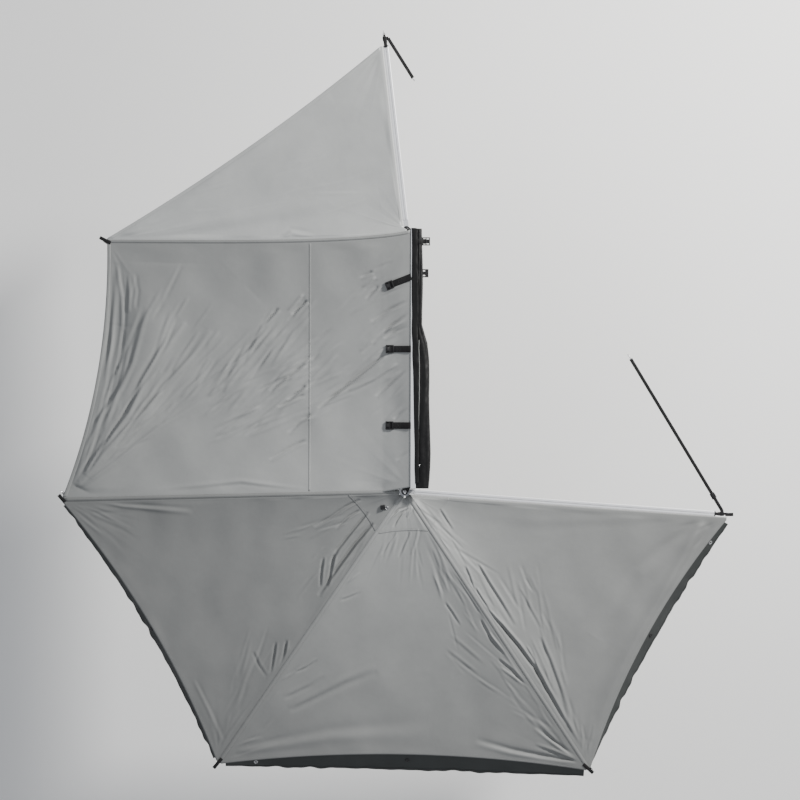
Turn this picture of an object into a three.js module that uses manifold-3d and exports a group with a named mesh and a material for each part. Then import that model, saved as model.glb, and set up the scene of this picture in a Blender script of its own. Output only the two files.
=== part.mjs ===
// A free-standing 270 degree fan awning for the left side of a vehicle, opened out.
// Millimetres, +Z up, +Y towards the vehicle's front, +X towards the vehicle.
// The origin is on the underside of the middle mounting bracket, where it bolts to a roof bar.
import * as THREE from 'three';
import { mergeVertices } from 'three/addons/utils/BufferGeometryUtils.js';
import Module from 'manifold-3d';

const wasm = await Module();
wasm.setup();

// Clearances and cutting
const seatGap = 0.3;
const weldGap = 1e-4;
const cutOver = 4;
const roundSides = 16;
const smallSides = 8;
const pinSides = 12;
const sectionCurve = 2;
const plateCurve = 2;

// Mounting brackets
const bracketLength = 60;
const bracketReach = 90;
const bracketThick = 6;
const bracketDrop = 96;
const bracketPitch = 640;
const bracketBend = 8;
const slotLength = 24;
const slotWidth = 9;
const slotSpacing = 34;
const bracketHole = 8.5;

// Rail extrusion
const railWidth = 38;
const railTop = 50;
const railBottom = -110;
const railRear = -935;
const railFront = 965;
const railWall = 3;
const railCorner = 3;
const kederBore = 9;
const kederMouth = 4;
const kederDepth = 27;
const boltSlotMouth = 9;
const boltSlotWidth = 17;
const boltSlotDepth = 8;
const boltSlotZ = -40;
const capThick = 3;
const capPlug = 25;
const capBoss = 6;

// Hinges
const hubY = -960;
const hubStandoff = 41;
const hubTop = -22;
const frontY = 960;
const frontStandoff = 33;
const frontTop = 20;
const pinRadius = 8;
const pinHeadRadius = 14;
const pinHeadHeight = 7;
const nutSides = 6;
const pinRun = 0.25;
const hingePlateThick = 6;
const hingePlateRadius = 24;
const hingePlateRun = 73;
const hingeBackThick = 6;
const hingeBackInset = 2;

// Arms
const armWidth = 38;
const armHeight = 25;
const armWall = 2.2;
const armCorner = 5;
const armSlotMouth = 4;
const armSlotWidth = 8;
const armSlotDepth = 6;
const levelPitch = armHeight + 2;
const eyeRadius = 21;
const eyeExtra = 1.4;
const neckReach = 70;
const neckWidth = 34;
const tongueLength = 120;
const armDroop = 3;
const frontArmDroop = 1;

// Arm tips
const tipCollar = 9;
const tipInsert = 45;
const tipTongueThick = 9;
const tipTongueRadius = 11;
const tipPinRadius = 5;
const tipPinReach = 22;
const tipPlateThick = 5.5;
const tipPlateRadius = 13;
const tipBodyStart = 14;
const tipLength = 66;
const tipWidth = 28;
const tipNoseWidth = 17;
const tipEarThick = 7;
const tipEarLength = 18;
const tipHoleRadius = 5.5;
const ringRadius = 11;
const ringWire = 2.2;
const ringSides = 5;

// Canopy
const clothThick = 2;
const clothLift = 1;
const clothRailZ = 44;
const hubCutRadius = 40;
const frontCutRadius = 45;
const railCornerInset = 10;
const seamDip = 110;
const seamDipShare = 0.6;
const hemWidth = 22;
const outerSagFront = 55;
const outerSagSide = 95;
const outerSagRear = 70;
const panelSag = 34;
const sideFoldCount = 14;
const frontFoldCount = 9;
const rearFoldCount = 16;
const foldHeight = 9;
const foldHeightRear = 14;
const cornerFoldReach = 900;
const valanceDrop = 95;
const valanceFlare = 30;
const valanceWave = 8;
const valanceWaves = 7;
const valanceEndShare = 0.35;
const valanceTrimShare = 0.018;
const valanceAcross = 21;
const sheetProbe = 0.05;

// Bag and straps
const bagWidth = 120;
const bagHeight = 40;
const bagBulge = 10;
const bagSteps = 18;
const bagSides = 12;
const bagSwells = 5;
const bagTaperShare = 0.12;
const bagSquareShare = 0.6;
const bagCrownShare = 0.7;
const bagTaperPower = 6;
const bagStrapStartShare = 0.12;
const strapThick = 3;
const storageReach = 178;
const storageWidth = 48;
const storageRest = 16;
const storageClear = 11;
const storageFar = 562;
const storageMiddle = 84;
const storageNear = -475;
const storageSkew = 60;
const storageDrape = 9;
const strapSteps = 10;
const heightSearches = 12;
const buckleSinkShare = 0.8;
const buckleLength = 58;
const buckleWidth = 60;
const buckleThick = 13;
const buckleFrame = 8;
const bagStrapY = 872;
const bagStrapWidth = 36;
const bagStrapReach = 104;
const bagStrapClear = 1.2;

// Tie straps: each loops round a tip bracket and ends in a hook
const tieWidth = 25;
const tieThick = 2.4;
const tieBandStart = 16;
const tieTab = 14;
const tieTabHeight = 8;
const tieBuckleAt = 105;
const tieBuckleLength = 46;
const tieBuckleWidth = 36;
const tieBuckleThick = 15;
const leverStartShare = 0.33;
const leverEndShare = 0.9;
const leverWidthShare = 0.67;
const rearTieEnd = new THREE.Vector3(1533, 18, -62);
const frontTieEnd = new THREE.Vector3(-70, 2110, -322);
const hookRadius = 15;
const hookWire = 3.2;
const hookShank = 22;
const hookSteps = 10;
const hookSlices = 14;
const hookTurnShare = 1.15;

const inside = -bracketReach / 2;
const railInner = inside - seatGap;
const railOuter = railInner - railWidth;
const railX = (railInner + railOuter) / 2;
const hub = new THREE.Vector3(railOuter - hubStandoff, hubY, hubTop);
const front = new THREE.Vector3(railOuter - frontStandoff, frontY, frontTop);

// Each arm: its reach from its pin to the middle of its tip bracket, its direction seen from above in
// degrees from +X, its place in the stack of eyes from the top, the turn of its tip bracket, and how far
// the canopy's corner lies beyond the bracket's swivel.
const arms = {
  b: { pin: hub, reach: 2877, azimuth: 140.2, level: 4, droop: armDroop, tipTurn: 13, corner: 40 },
  c: { pin: hub, reach: 2517, azimuth: 181.6, level: 0, droop: armDroop, tipTurn: -50, corner: 40 },
  d: { pin: hub, reach: 2423, azimuth: 235.7, level: 1, droop: armDroop, tipTurn: -5, corner: 40 },
  e: { pin: hub, reach: 2458, azimuth: 303.6, level: 2, droop: armDroop, tipTurn: 14, corner: 40 },
  f: { pin: hub, reach: 2367, azimuth: 355.9, level: 3, droop: armDroop, tipTurn: 5, corner: 60 },
  a: { pin: front, reach: 1411, azimuth: 96.6, level: 0, droop: frontArmDroop, tipTurn: 3, corner: -25 },
};

const aluminium = { color: 0xc9cccf, roughness: 0.38, metalness: 0.9 };
const steel = { color: 0xb4b6b8, roughness: 0.3, metalness: 1 };
const blackPlastic = { color: 0x17181a, roughness: 0.6, metalness: 0 };
const blackSteel = { color: 0x1c1d1f, roughness: 0.5, metalness: 0.4 };
const canopyCloth = { color: 0x9a9b99, roughness: 0.62, metalness: 0 };
const valanceCloth = { color: 0x35373a, roughness: 0.7, metalness: 0 };
const bagCloth = { color: 0x141517, roughness: 0.7, metalness: 0 };
const webbing = { color: 0x18191a, roughness: 0.85, metalness: 0 };

const awning = new THREE.Group();

const radians = (degrees) => THREE.MathUtils.degToRad(degrees);

function addMesh(parent, name, geometry, finish) {
  const mesh = new THREE.Mesh(geometry, new THREE.MeshStandardMaterial(finish));
  mesh.name = name;
  parent.add(mesh);
  return mesh;
}

// Closed meshes to solids and back, for joining and cutting
function solid(geometry) {
  const bare = geometry.clone();
  bare.deleteAttribute('normal');
  bare.deleteAttribute('uv');
  const merged = mergeVertices(bare, weldGap);
  const vertProperties = new Float32Array(merged.attributes.position.array);
  const triVerts = new Uint32Array(merged.index.array);
  return new wasm.Manifold(new wasm.Mesh({ numProp: 3, vertProperties, triVerts }));
}

function geometryOf(body) {
  const mesh = body.getMesh();
  const geometry = new THREE.BufferGeometry();
  geometry.setAttribute('position', new THREE.BufferAttribute(new Float32Array(mesh.vertProperties), 3));
  geometry.setIndex(new THREE.BufferAttribute(new Uint32Array(mesh.triVerts), 1));
  return geometry;
}

function joined(pieces) {
  return pieces.map(solid).reduce((all, piece) => all.add(piece));
}

function cut(body, cutters) {
  return cutters.map(solid).reduce((left, cutter) => left.subtract(cutter), body);
}

function box(x0, x1, y0, y1, z0, z1) {
  const geometry = new THREE.BoxGeometry(x1 - x0, y1 - y0, z1 - z0);
  return geometry.translate((x0 + x1) / 2, (y0 + y1) / 2, (z0 + z1) / 2);
}

function disc(radius, z0, z1, x = 0, y = 0, sides = roundSides) {
  const geometry = new THREE.CylinderGeometry(radius, radius, z1 - z0, sides);
  return geometry.rotateX(Math.PI / 2).translate(x, y, (z0 + z1) / 2);
}

function outline(points) {
  return new THREE.Shape(points.map(([x, y]) => new THREE.Vector2(x, y)));
}

function extruded(shape, depth, curveSegments) {
  return new THREE.ExtrudeGeometry(shape, { depth, bevelEnabled: false, curveSegments });
}

// A flat plate: its outline lies in XY and its thickness goes from z0 to z1
function plate(shape, z0, z1) {
  const geometry = extruded(shape, z1 - z0, plateCurve);
  return geometry.translate(0, 0, z0);
}

// A section drawn in XZ, run along +Y from y0 to y1
function runAlongY(shape, y0, y1) {
  const geometry = extruded(shape, y1 - y0, sectionCurve);
  const turn = new THREE.Matrix4().makeBasis(
    new THREE.Vector3(-1, 0, 0),
    new THREE.Vector3(0, 0, 1),
    new THREE.Vector3(0, 1, 0),
  );
  return geometry.applyMatrix4(turn).translate(0, y0, 0);
}

// A section drawn in YZ, run along +X from x0 to x1
function runAlongX(shape, x0, x1) {
  const geometry = extruded(shape, x1 - x0, sectionCurve);
  const turn = new THREE.Matrix4().makeBasis(
    new THREE.Vector3(0, 1, 0),
    new THREE.Vector3(0, 0, 1),
    new THREE.Vector3(1, 0, 0),
  );
  return geometry.applyMatrix4(turn).translate(x0, 0, 0);
}

// A rectangle about its centre with rounded corners
function roundedShape(width, height, corner) {
  const shape = new THREE.Shape();
  const x = width / 2;
  const y = height / 2;
  shape.moveTo(corner - x, -y);
  shape.lineTo(x - corner, -y);
  shape.absarc(x - corner, corner - y, corner, -Math.PI / 2, 0);
  shape.lineTo(x, y - corner);
  shape.absarc(x - corner, y - corner, corner, 0, Math.PI / 2);
  shape.lineTo(corner - x, y);
  shape.absarc(corner - x, y - corner, corner, Math.PI / 2, Math.PI);
  shape.lineTo(-x, corner - y);
  shape.absarc(corner - x, corner - y, corner, Math.PI, Math.PI * 1.5);
  return shape;
}

// Rail: a tall hollow extrusion, with a round groove for the canopy's edge cord on the outer face
// and a T slot for the bracket bolts on the inner face.
function buildRail() {
  const height = railTop - railBottom;
  const middleZ = (railTop + railBottom) / 2;
  const bar = runAlongY(roundedShape(railWidth, height, railCorner), railRear, railFront);
  const kederZ = railTop - kederDepth - middleZ;
  const slotZ = boltSlotZ - middleZ;
  const half = railWidth / 2;
  const y0 = railRear - cutOver;
  const y1 = railFront + cutOver;
  const bore = new THREE.CylinderGeometry(kederBore / 2, kederBore / 2, y1 - y0, smallSides);
  bore.translate(0, (y0 + y1) / 2, 0);
  bore.translate(-half + kederBore / 2 + railWall, 0, kederZ);
  const mouth = box(-half - cutOver, -half + railWall + kederBore / 2, y0, y1, kederZ - kederMouth / 2,
    kederZ + kederMouth / 2);
  const boltMouth = box(half - railWall - cutOver, half + cutOver, y0, y1, slotZ - boltSlotMouth / 2,
    slotZ + boltSlotMouth / 2);
  const boltRoom = box(half - railWall - boltSlotDepth, half - railWall, y0, y1, slotZ - boltSlotWidth / 2,
    slotZ + boltSlotWidth / 2);
  const lowCell = box(-half + railWall, half - railWall, y0, y1, -height / 2 + railWall,
    slotZ - boltSlotWidth / 2 - railWall);
  const highCell = box(-half + railWall, half - railWall, y0, y1, slotZ + boltSlotWidth / 2 + railWall,
    kederZ - kederBore / 2 - railWall);
  const rail = cut(solid(bar), [bore, mouth, boltMouth, boltRoom, lowCell, highCell]);
  addMesh(awning, 'rail', geometryOf(rail).translate(railX, 0, middleZ), aluminium);
}

// End caps: a plate over the end of the rail, with a plug in its lower cell
function buildRailCaps() {
  const height = railTop - railBottom;
  const middleZ = (railTop + railBottom) / 2;
  const half = railWidth / 2;
  const slotZ = boltSlotZ - middleZ;
  const cellTop = slotZ - boltSlotWidth / 2 - railWall;
  const cellBottom = -height / 2 + railWall;
  const ends = [['rail_cap_rear', railRear, -1], ['rail_cap_front', railFront, 1]];
  for (const [name, y, side] of ends) {
    const near = y + side * seatGap;
    const far = near + side * capThick;
    const plugEnd = y - side * capPlug;
    const cover = runAlongY(roundedShape(railWidth, height, railCorner), Math.min(near, far), Math.max(near, far));
    const plug = box(-half + railWall + seatGap, half - railWall - seatGap, Math.min(plugEnd, far),
      Math.max(plugEnd, far), cellBottom + seatGap, cellTop - seatGap);
    const reliefStart = near - side * capThick;
    const reliefEnd = plugEnd - side * cutOver;
    const relief = box(-half + railWall + capBoss, half - railWall - capBoss, Math.min(reliefStart, reliefEnd),
      Math.max(reliefStart, reliefEnd), cellBottom + capBoss, cellTop - capBoss);
    const cap = cut(joined([cover, plug]), [relief]);
    addMesh(awning, name, geometryOf(cap).translate(railX, 0, middleZ), blackPlastic);
  }
}

// Mounting brackets: an angle whose upright bolts to the rail and whose shelf sits on a roof bar
function buildMountBracket(name, y) {
  const section = new THREE.Shape();
  const out = bracketReach / 2;
  section.moveTo(-out, -bracketDrop);
  section.lineTo(-out, bracketThick - bracketBend);
  section.absarc(-out + bracketBend, bracketThick - bracketBend, bracketBend, Math.PI, Math.PI / 2, true);
  section.lineTo(out, bracketThick);
  section.lineTo(out, 0);
  section.lineTo(-out + bracketBend, 0);
  section.absarc(-out + bracketBend, bracketThick - bracketBend, bracketBend - bracketThick, Math.PI / 2,
    Math.PI);
  section.lineTo(-out + bracketThick, -bracketDrop);
  section.closePath();
  const mirrored = new THREE.Shape(section.getPoints(plateCurve).map((p) => new THREE.Vector2(-p.x, p.y)));
  const angle = runAlongY(mirrored, -bracketLength / 2, bracketLength / 2);
  const slots = [-1, 1].map((side) => {
    const shape = roundedShape(slotLength, slotWidth, slotWidth / 2 - seatGap);
    return plate(shape, -cutOver, bracketThick + cutOver).translate(slotWidth, side * slotSpacing / 2, 0);
  });
  const holes = [-1, 1].map((side) => {
    const hole = new THREE.CylinderGeometry(bracketHole / 2, bracketHole / 2, bracketThick + 2 * cutOver, smallSides);
    return hole.rotateZ(Math.PI / 2).translate(-out + bracketThick / 2, side * slotSpacing / 2, boltSlotZ);
  });
  const body = cut(solid(angle), [...slots, ...holes]);
  addMesh(awning, name, geometryOf(body).translate(0, y, 0), blackSteel);
}

// Hinge bracket: a back plate on the rail's outer face and two arms that carry a pin
function hingeBracket(pin, topZ, bottomZ, backRear, backFront, lean) {
  const backOuter = railOuter - seatGap - hingeBackThick;
  const backInner = railOuter - seatGap;
  const nearY = lean > 0 ? backRear : backFront;
  const farY = lean > 0 ? backFront : backRear;
  const share = Math.SQRT1_2;
  const side = lean * hingePlateRadius;
  const leaf = outline([
    [backInner, nearY],
    [backInner, farY],
    [backOuter, farY],
    [pin.x - hingePlateRadius * share, pin.y + side * share],
    [pin.x - hingePlateRadius * share, pin.y - side * share],
    [pin.x + hingePlateRadius * share, pin.y - side * share],
  ]);
  const pieces = [
    box(backOuter, backInner, backRear, backFront, bottomZ - hingePlateThick, topZ + hingePlateThick),
    plate(leaf, topZ, topZ + hingePlateThick),
    plate(leaf, bottomZ - hingePlateThick, bottomZ),
    disc(hingePlateRadius, topZ, topZ + hingePlateThick, pin.x, pin.y),
    disc(hingePlateRadius, bottomZ - hingePlateThick, bottomZ, pin.x, pin.y),
  ];
  const bore = disc(pinRadius + pinRun, bottomZ - hingePlateThick - cutOver, topZ + hingePlateThick + cutOver,
    pin.x, pin.y);
  const upright = new THREE.CylinderGeometry(bracketHole / 2, bracketHole / 2, hingeBackThick + 2 * cutOver,
    smallSides);
  const holes = [-1, 1].map((end) => upright.clone().rotateZ(Math.PI / 2).translate(
    (backOuter + backInner) / 2,
    (backRear + backFront) / 2 + end * (backFront - backRear) / 4,
    (topZ + bottomZ) / 2 + end * (topZ - bottomZ) / 4,
  ));
  return geometryOf(cut(joined(pieces), [bore, ...holes]));
}

// Hinge pin: a shaft with a domed head on top, turned in one piece
function hingePin(pin, topZ, bottomZ, tail) {
  const headZ = topZ + hingePlateThick + seatGap;
  const endZ = bottomZ - hingePlateThick - tail;
  const profile = [
    new THREE.Vector2(0, endZ),
    new THREE.Vector2(pinRadius, endZ),
    new THREE.Vector2(pinRadius, headZ),
    new THREE.Vector2(pinHeadRadius, headZ),
    new THREE.Vector2(pinHeadRadius, headZ + pinHeadHeight / 2),
    new THREE.Vector2(pinHeadRadius / 2, headZ + pinHeadHeight),
    new THREE.Vector2(0, headZ + pinHeadHeight),
  ];
  const shaft = new THREE.LatheGeometry(profile, roundSides);
  return shaft.rotateX(Math.PI / 2).translate(pin.x, pin.y, 0);
}

// Nut under a hinge, six-sided, with its bore
function hingeNut(pin, bottomZ) {
  const top = bottomZ - hingePlateThick - seatGap;
  const hex = disc(pinHeadRadius, top - pinHeadRadius, top, pin.x, pin.y, nutSides);
  const bore = disc(pinRadius + pinRun, top - pinHeadRadius - cutOver, top + cutOver, pin.x, pin.y);
  return geometryOf(cut(solid(hex), [bore]));
}

const eyeHeight = armHeight + eyeExtra;
const hubArmCount = Object.values(arms).filter((arm) => arm.pin === hub).length;
const hubStackTop = hubTop - armHeight / 2 + eyeHeight / 2 + seatGap;
const hubStackBottom = hubTop - armHeight / 2 - (hubArmCount - 1) * levelPitch - eyeHeight / 2 - seatGap;
const frontStackTop = frontTop - armHeight / 2 + eyeHeight / 2 + seatGap;
const frontStackBottom = frontTop - armHeight / 2 - eyeHeight / 2 - seatGap;

function buildHinges() {
  const hubBackRear = railRear + hingeBackInset;
  const hubBracket = hingeBracket(hub, hubStackTop, hubStackBottom, hubBackRear, hubBackRear + hingePlateRun, 1);
  addMesh(awning, 'hub_bracket', hubBracket, blackSteel);
  addMesh(awning, 'hub_pin', hingePin(hub, hubStackTop, hubStackBottom, pinHeadRadius + pinHeadHeight), steel);
  addMesh(awning, 'hub_nut', hingeNut(hub, hubStackBottom), steel);
  const frontBackFront = railFront - hingeBackInset;
  const frontBracket = hingeBracket(front, frontStackTop, frontStackBottom, frontBackFront - hingePlateRun,
    frontBackFront, -1);
  addMesh(awning, 'front_bracket', frontBracket, blackSteel);
  addMesh(awning, 'front_pin', hingePin(front, frontStackTop, frontStackBottom, pinHeadHeight), steel);
}

// The hollow inside an arm tube, or what fits in it with a clearance all round
function armBore(clearance) {
  const width = armWidth - 2 * armWall - 2 * clearance;
  const height = armHeight - 2 * armWall - armSlotDepth - 2 * clearance;
  return roundedShape(width, height, armCorner - armWall);
}

// Arm tube: a rounded hollow section with a T groove along its top for the canopy's hook strip
function armTube(length) {
  const bar = runAlongX(roundedShape(armWidth, armHeight, armCorner), 0, length);
  const roof = armHeight / 2;
  const hollow = runAlongX(armBore(0), -cutOver, length + cutOver).translate(0, 0, -armSlotDepth / 2);
  const mouth = box(-cutOver, length + cutOver, -armSlotMouth / 2, armSlotMouth / 2, roof - armSlotDepth,
    roof + cutOver);
  const room = box(-cutOver, length + cutOver, -armSlotWidth / 2, armSlotWidth / 2, roof - armSlotDepth,
    roof - armWall);
  return geometryOf(cut(solid(bar), [hollow, mouth, room]));
}

// Knuckle: an eye on the pin, a level neck, and a tongue bent down into the tube
function armKnuckle(droop) {
  const half = eyeHeight / 2;
  const eye = disc(eyeRadius, -half, half);
  const neck = box(0, neckReach - armHeight / 2 * Math.sin(radians(droop)) - seatGap, -neckWidth / 2, neckWidth / 2,
    -armHeight / 2 + armWall, armHeight / 2 - armWall);
  const tongue = runAlongX(armBore(seatGap), -neckReach / 2, tongueLength);
  tongue.translate(0, 0, -armSlotDepth / 2).rotateY(radians(droop)).translate(neckReach, 0, 0);
  const bore = disc(pinRadius + pinRun, -half - cutOver, half + cutOver);
  const dish = disc(eyeRadius / 2 + pinRadius / 2, half - eyeExtra / 2, half + cutOver);
  return geometryOf(cut(joined([eye, neck, tongue]), [bore, dish]));
}

// Tip plug: a collar over the tube's end, a block inside it, and a flat tongue with the swivel hole
function tipPlug() {
  const collar = runAlongX(roundedShape(armWidth, armHeight, armCorner), seatGap, tipCollar);
  const block = runAlongX(armBore(seatGap), -tipInsert, tipCollar).translate(0, 0, -armSlotDepth / 2);
  const swivel = tipCollar + tipPinReach;
  const tongue = box(tipCollar / 2, swivel, -tipTongueRadius, tipTongueRadius, -tipTongueThick / 2,
    tipTongueThick / 2);
  const end = disc(tipTongueRadius, -tipTongueThick / 2, tipTongueThick / 2, swivel);
  const hole = disc(tipPinRadius + pinRun, -tipTongueThick, tipTongueThick, swivel, 0, pinSides);
  return geometryOf(cut(joined([collar, block, tongue, end]), [hole]));
}

// Tip bracket: a fork with its own pin, a tapered body, and a thin ear for the ring
function tipBracket() {
  const inner = tipTongueThick / 2 + seatGap;
  const outer = inner + tipPlateThick;
  const body = outline([
    [0, -tipPlateRadius],
    [tipBodyStart, -tipWidth / 2],
    [tipLength - tipEarLength, -tipNoseWidth / 2],
    [tipLength - tipEarLength, tipNoseWidth / 2],
    [tipBodyStart, tipWidth / 2],
    [0, tipPlateRadius],
  ]);
  const pieces = [
    plate(body, -outer, outer),
    disc(tipPlateRadius, -outer, outer),
    box(tipBodyStart, tipLength, -tipNoseWidth / 2, tipNoseWidth / 2, -tipEarThick / 2, tipEarThick / 2),
    disc(tipNoseWidth / 2, -tipEarThick / 2, tipEarThick / 2, tipLength),
  ];
  const throat = box(-tipPlateRadius - cutOver, tipBodyStart - seatGap, -tipWidth, tipWidth, -inner, inner);
  const ringHole = disc(tipHoleRadius, -tipEarThick, tipEarThick, tipLength, 0, smallSides);
  const fork = cut(joined(pieces), [throat, ringHole]);
  return geometryOf(fork.add(solid(disc(tipPinRadius, -outer + tipPlateThick / 2, outer - tipPlateThick / 2, 0, 0,
    pinSides))));
}

// Ring: round wire bent closed, standing in the ear's hole
function tipRing() {
  const ring = new THREE.TorusGeometry(ringRadius, ringWire, ringSides, roundSides);
  const seat = tipHoleRadius * Math.cos(Math.PI / smallSides) - ringWire - seatGap;
  return ring.rotateX(Math.PI / 2).translate(tipLength + ringRadius + seat, 0, 0);
}

function buildArm(letter, arm) {
  const pivot = new THREE.Group();
  pivot.position.set(arm.pin.x, arm.pin.y, arm.pin.z - armHeight / 2 - arm.level * levelPitch);
  pivot.rotation.z = radians(arm.azimuth);
  awning.add(pivot);
  addMesh(pivot, `arm_${letter}_knuckle`, armKnuckle(arm.droop), blackSteel);
  const sloped = new THREE.Group();
  sloped.position.x = neckReach;
  sloped.rotation.y = radians(arm.droop);
  pivot.add(sloped);
  const length = arm.reach - neckReach - tipCollar - tipPinReach - tipLength / 2;
  addMesh(sloped, `arm_${letter}_tube`, armTube(length), aluminium);
  addMesh(sloped, `arm_${letter}_tip_plug`, tipPlug(), blackPlastic).position.x = length;
  const swivel = new THREE.Group();
  swivel.position.x = length + tipCollar + tipPinReach;
  swivel.rotation.z = radians(arm.tipTurn);
  sloped.add(swivel);
  addMesh(swivel, `arm_${letter}_tip_bracket`, tipBracket(), blackPlastic);
  addMesh(swivel, `arm_${letter}_tip_ring`, tipRing(), steel);
}

// A point over an arm: along is the distance from its pin, side is to its left, lift is above its top
function overArm(arm, along, side, lift) {
  const angle = radians(arm.azimuth);
  const slope = (along - neckReach) * Math.sin(radians(arm.droop));
  const top = arm.pin.z - arm.level * levelPitch - slope;
  return new THREE.Vector3(
    arm.pin.x + along * Math.cos(angle) - side * Math.sin(angle),
    arm.pin.y + along * Math.sin(angle) + side * Math.cos(angle),
    top + lift,
  );
}

const between = (p, q, share) => new THREE.Vector3().lerpVectors(p, q, share);
const bow = (share) => 4 * share * (1 - share);

// Canopy edges, each a function of a share from 0 at the inner end to 1 at the outer
const clothTop = clothLift + clothThick;
const tipOf = (arm) => arm.reach - tipLength / 2 + arm.corner;
const cornerB = overArm(arms.b, tipOf(arms.b), 0, clothTop);
const railCornerRear = new THREE.Vector3(railOuter - seatGap, railRear + railCornerInset, clothRailZ);
const railCornerFront = new THREE.Vector3(railOuter - seatGap, railFront - hingeBackInset, clothRailZ);
const kinkShare = 0.1;

function armEdge(arm, side) {
  return (share) => overArm(arm, hubCutRadius + share * (tipOf(arm) - hubCutRadius), side, clothTop);
}

// Along the front side of arm C the side panel first runs from the rail's rear corner to the arm
function sideEdge(side) {
  const alongC = armEdge(arms.c, side);
  const corner = railCornerRear.clone();
  corner.y -= side;
  return (share) => (share < kinkShare
    ? between(corner, alongC(kinkShare / 2), share / kinkShare)
    : alongC(kinkShare / 2 + (share - kinkShare) * (1 - kinkShare / 2) / (1 - kinkShare)));
}

// The seam between the side panel and the front panel; side moves it towards the front
function seamB(side) {
  return (share) => {
    const point = between(railCornerFront, cornerB, share);
    point.y += side - seamDip * Math.sin(Math.PI * Math.pow(share, seamDipShare));
    return point;
  };
}

function frontEdgeA(side) {
  return (share) => overArm(arms.a, frontCutRadius + share * (tipOf(arms.a) - frontCutRadius), side, -clothLift);
}

// An outer edge sags inwards between two corners, towards a pin
function outerEdge(from, to, towards, depth) {
  const middle = between(from, to, 0.5);
  const pull = new THREE.Vector3(towards.x - middle.x, towards.y - middle.y, 0).normalize();
  return (share) => between(from, to, share).addScaledVector(pull, depth * bow(share));
}

// A surface filled between four edges: across goes from the first side to the second, out from inner to outer
function filled(inner, outer, first, second) {
  const corners = [first(0), second(0), first(1), second(1)];
  return (across, out) => {
    const point = between(inner(across), outer(across), out);
    point.add(between(first(out), second(out), across));
    const low = between(corners[0], corners[1], across);
    const high = between(corners[2], corners[3], across);
    return point.sub(between(low, high, out));
  };
}

// A closed thin sheet over a surface, with its thickness below it
function clothSheet(surface, acrossSteps, outSteps, thick) {
  const positions = [];
  const index = [];
  const row = acrossSteps + 1;
  const layer = row * (outSteps + 1);
  for (const drop of [0, thick]) {
    for (let j = 0; j <= outSteps; j += 1) {
      for (let i = 0; i <= acrossSteps; i += 1) {
        const point = surface(i / acrossSteps, j / outSteps);
        positions.push(point.x, point.y, point.z - drop);
      }
    }
  }
  const quad = (a, b, c, d) => index.push(a, b, c, a, c, d);
  for (let j = 0; j < outSteps; j += 1) {
    for (let i = 0; i < acrossSteps; i += 1) {
      const a = j * row + i;
      quad(a, a + 1, a + row + 1, a + row);
      quad(layer + a, layer + a + row, layer + a + row + 1, layer + a + 1);
    }
  }
  for (let i = 0; i < acrossSteps; i += 1) {
    quad(i, layer + i, layer + i + 1, i + 1);
    const end = outSteps * row + i;
    quad(end, end + 1, layer + end + 1, layer + end);
  }
  for (let j = 0; j < outSteps; j += 1) {
    const left = j * row;
    quad(left, left + row, layer + left + row, layer + left);
    const right = left + acrossSteps;
    quad(right, layer + right, layer + right + row, right + row);
  }
  const geometry = new THREE.BufferGeometry();
  geometry.setAttribute('position', new THREE.Float32BufferAttribute(positions, 3));
  geometry.setIndex(index);
  return facingUp(geometry, surface);
}

// Turns the faces round where the surface runs the other way
function facingUp(geometry, surface) {
  const middle = surface(0.5, 0.5);
  const across = surface(0.5 + sheetProbe, 0.5).sub(middle);
  const out = surface(0.5, 0.5 + sheetProbe).sub(middle);
  if (across.cross(out).z < 0) {
    const index = geometry.index.array;
    for (let i = 0; i < index.length; i += 3) {
      const kept = index[i + 1];
      index[i + 1] = index[i + 2];
      index[i + 2] = kept;
    }
  }
  return geometry;
}

// Folds that fan out from a corner and die away from it and from the sheet's edges
function cornerFolds(point, corner, count, height) {
  const distance = Math.hypot(point.x - corner.x, point.y - corner.y);
  const angle = Math.atan2(point.y - corner.y, point.x - corner.x);
  const near = Math.min(1, distance / (cornerFoldReach / 4));
  return height * near * Math.exp(-distance / cornerFoldReach) * Math.sin(count * angle);
}

function shaped(surface, sag, corner, count, height) {
  return (across, out) => {
    const point = surface(across, out);
    const hold = Math.sqrt(bow(across) * bow(out));
    point.z -= sag * bow(across) * bow(out);
    point.z += hold * cornerFolds(point, corner, count, height);
    return point;
  };
}

const cornerC = armEdge(arms.c, 0)(1);
const cornerD = armEdge(arms.d, 0)(1);
const cornerE = armEdge(arms.e, 0)(1);
const cornerF = armEdge(arms.f, -armWidth / 2 - clothLift)(1);
const seamSteps = 16;
const seamSkipped = 2;
const seamPacking = 1.6;

// The steps out along the front seam are closer together near the rail, where the seam bends most
function seamShareAt(step) {
  return Math.pow(step / seamSteps, seamPacking);
}

const seamStartShare = seamShareAt(seamSkipped);

function sideOut(out) {
  return seamShareAt(out * seamSteps);
}

function frontOut(out) {
  const share = seamShareAt(seamSkipped + out * (seamSteps - seamSkipped));
  return (share - seamStartShare) / (1 - seamStartShare);
}

function straight(from, to) {
  return (share) => between(from, to, share);
}

// A panel between two seam lines. Its first and last columns lie on the seams, and the columns
// next to them a hem's width inside, so that the cloth is flat where it crosses an arm.
function panelBetween(first, second, inner, outerDepth, towards, steps, finish) {
  const outer = outerEdge(first.hem(1), second.hem(1), towards, outerDepth);
  const middle = finish(filled(inner, outer, first.hem, second.hem));
  return (across, out) => {
    if (across === 0) {
      return first.seam(out);
    }
    if (across === 1) {
      return second.seam(out);
    }
    return middle((across * steps - 1) / (steps - 2), out);
  };
}

function armSide(arm, side) {
  return { seam: armEdge(arm, side * seatGap), hem: armEdge(arm, side * hemWidth) };
}

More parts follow.
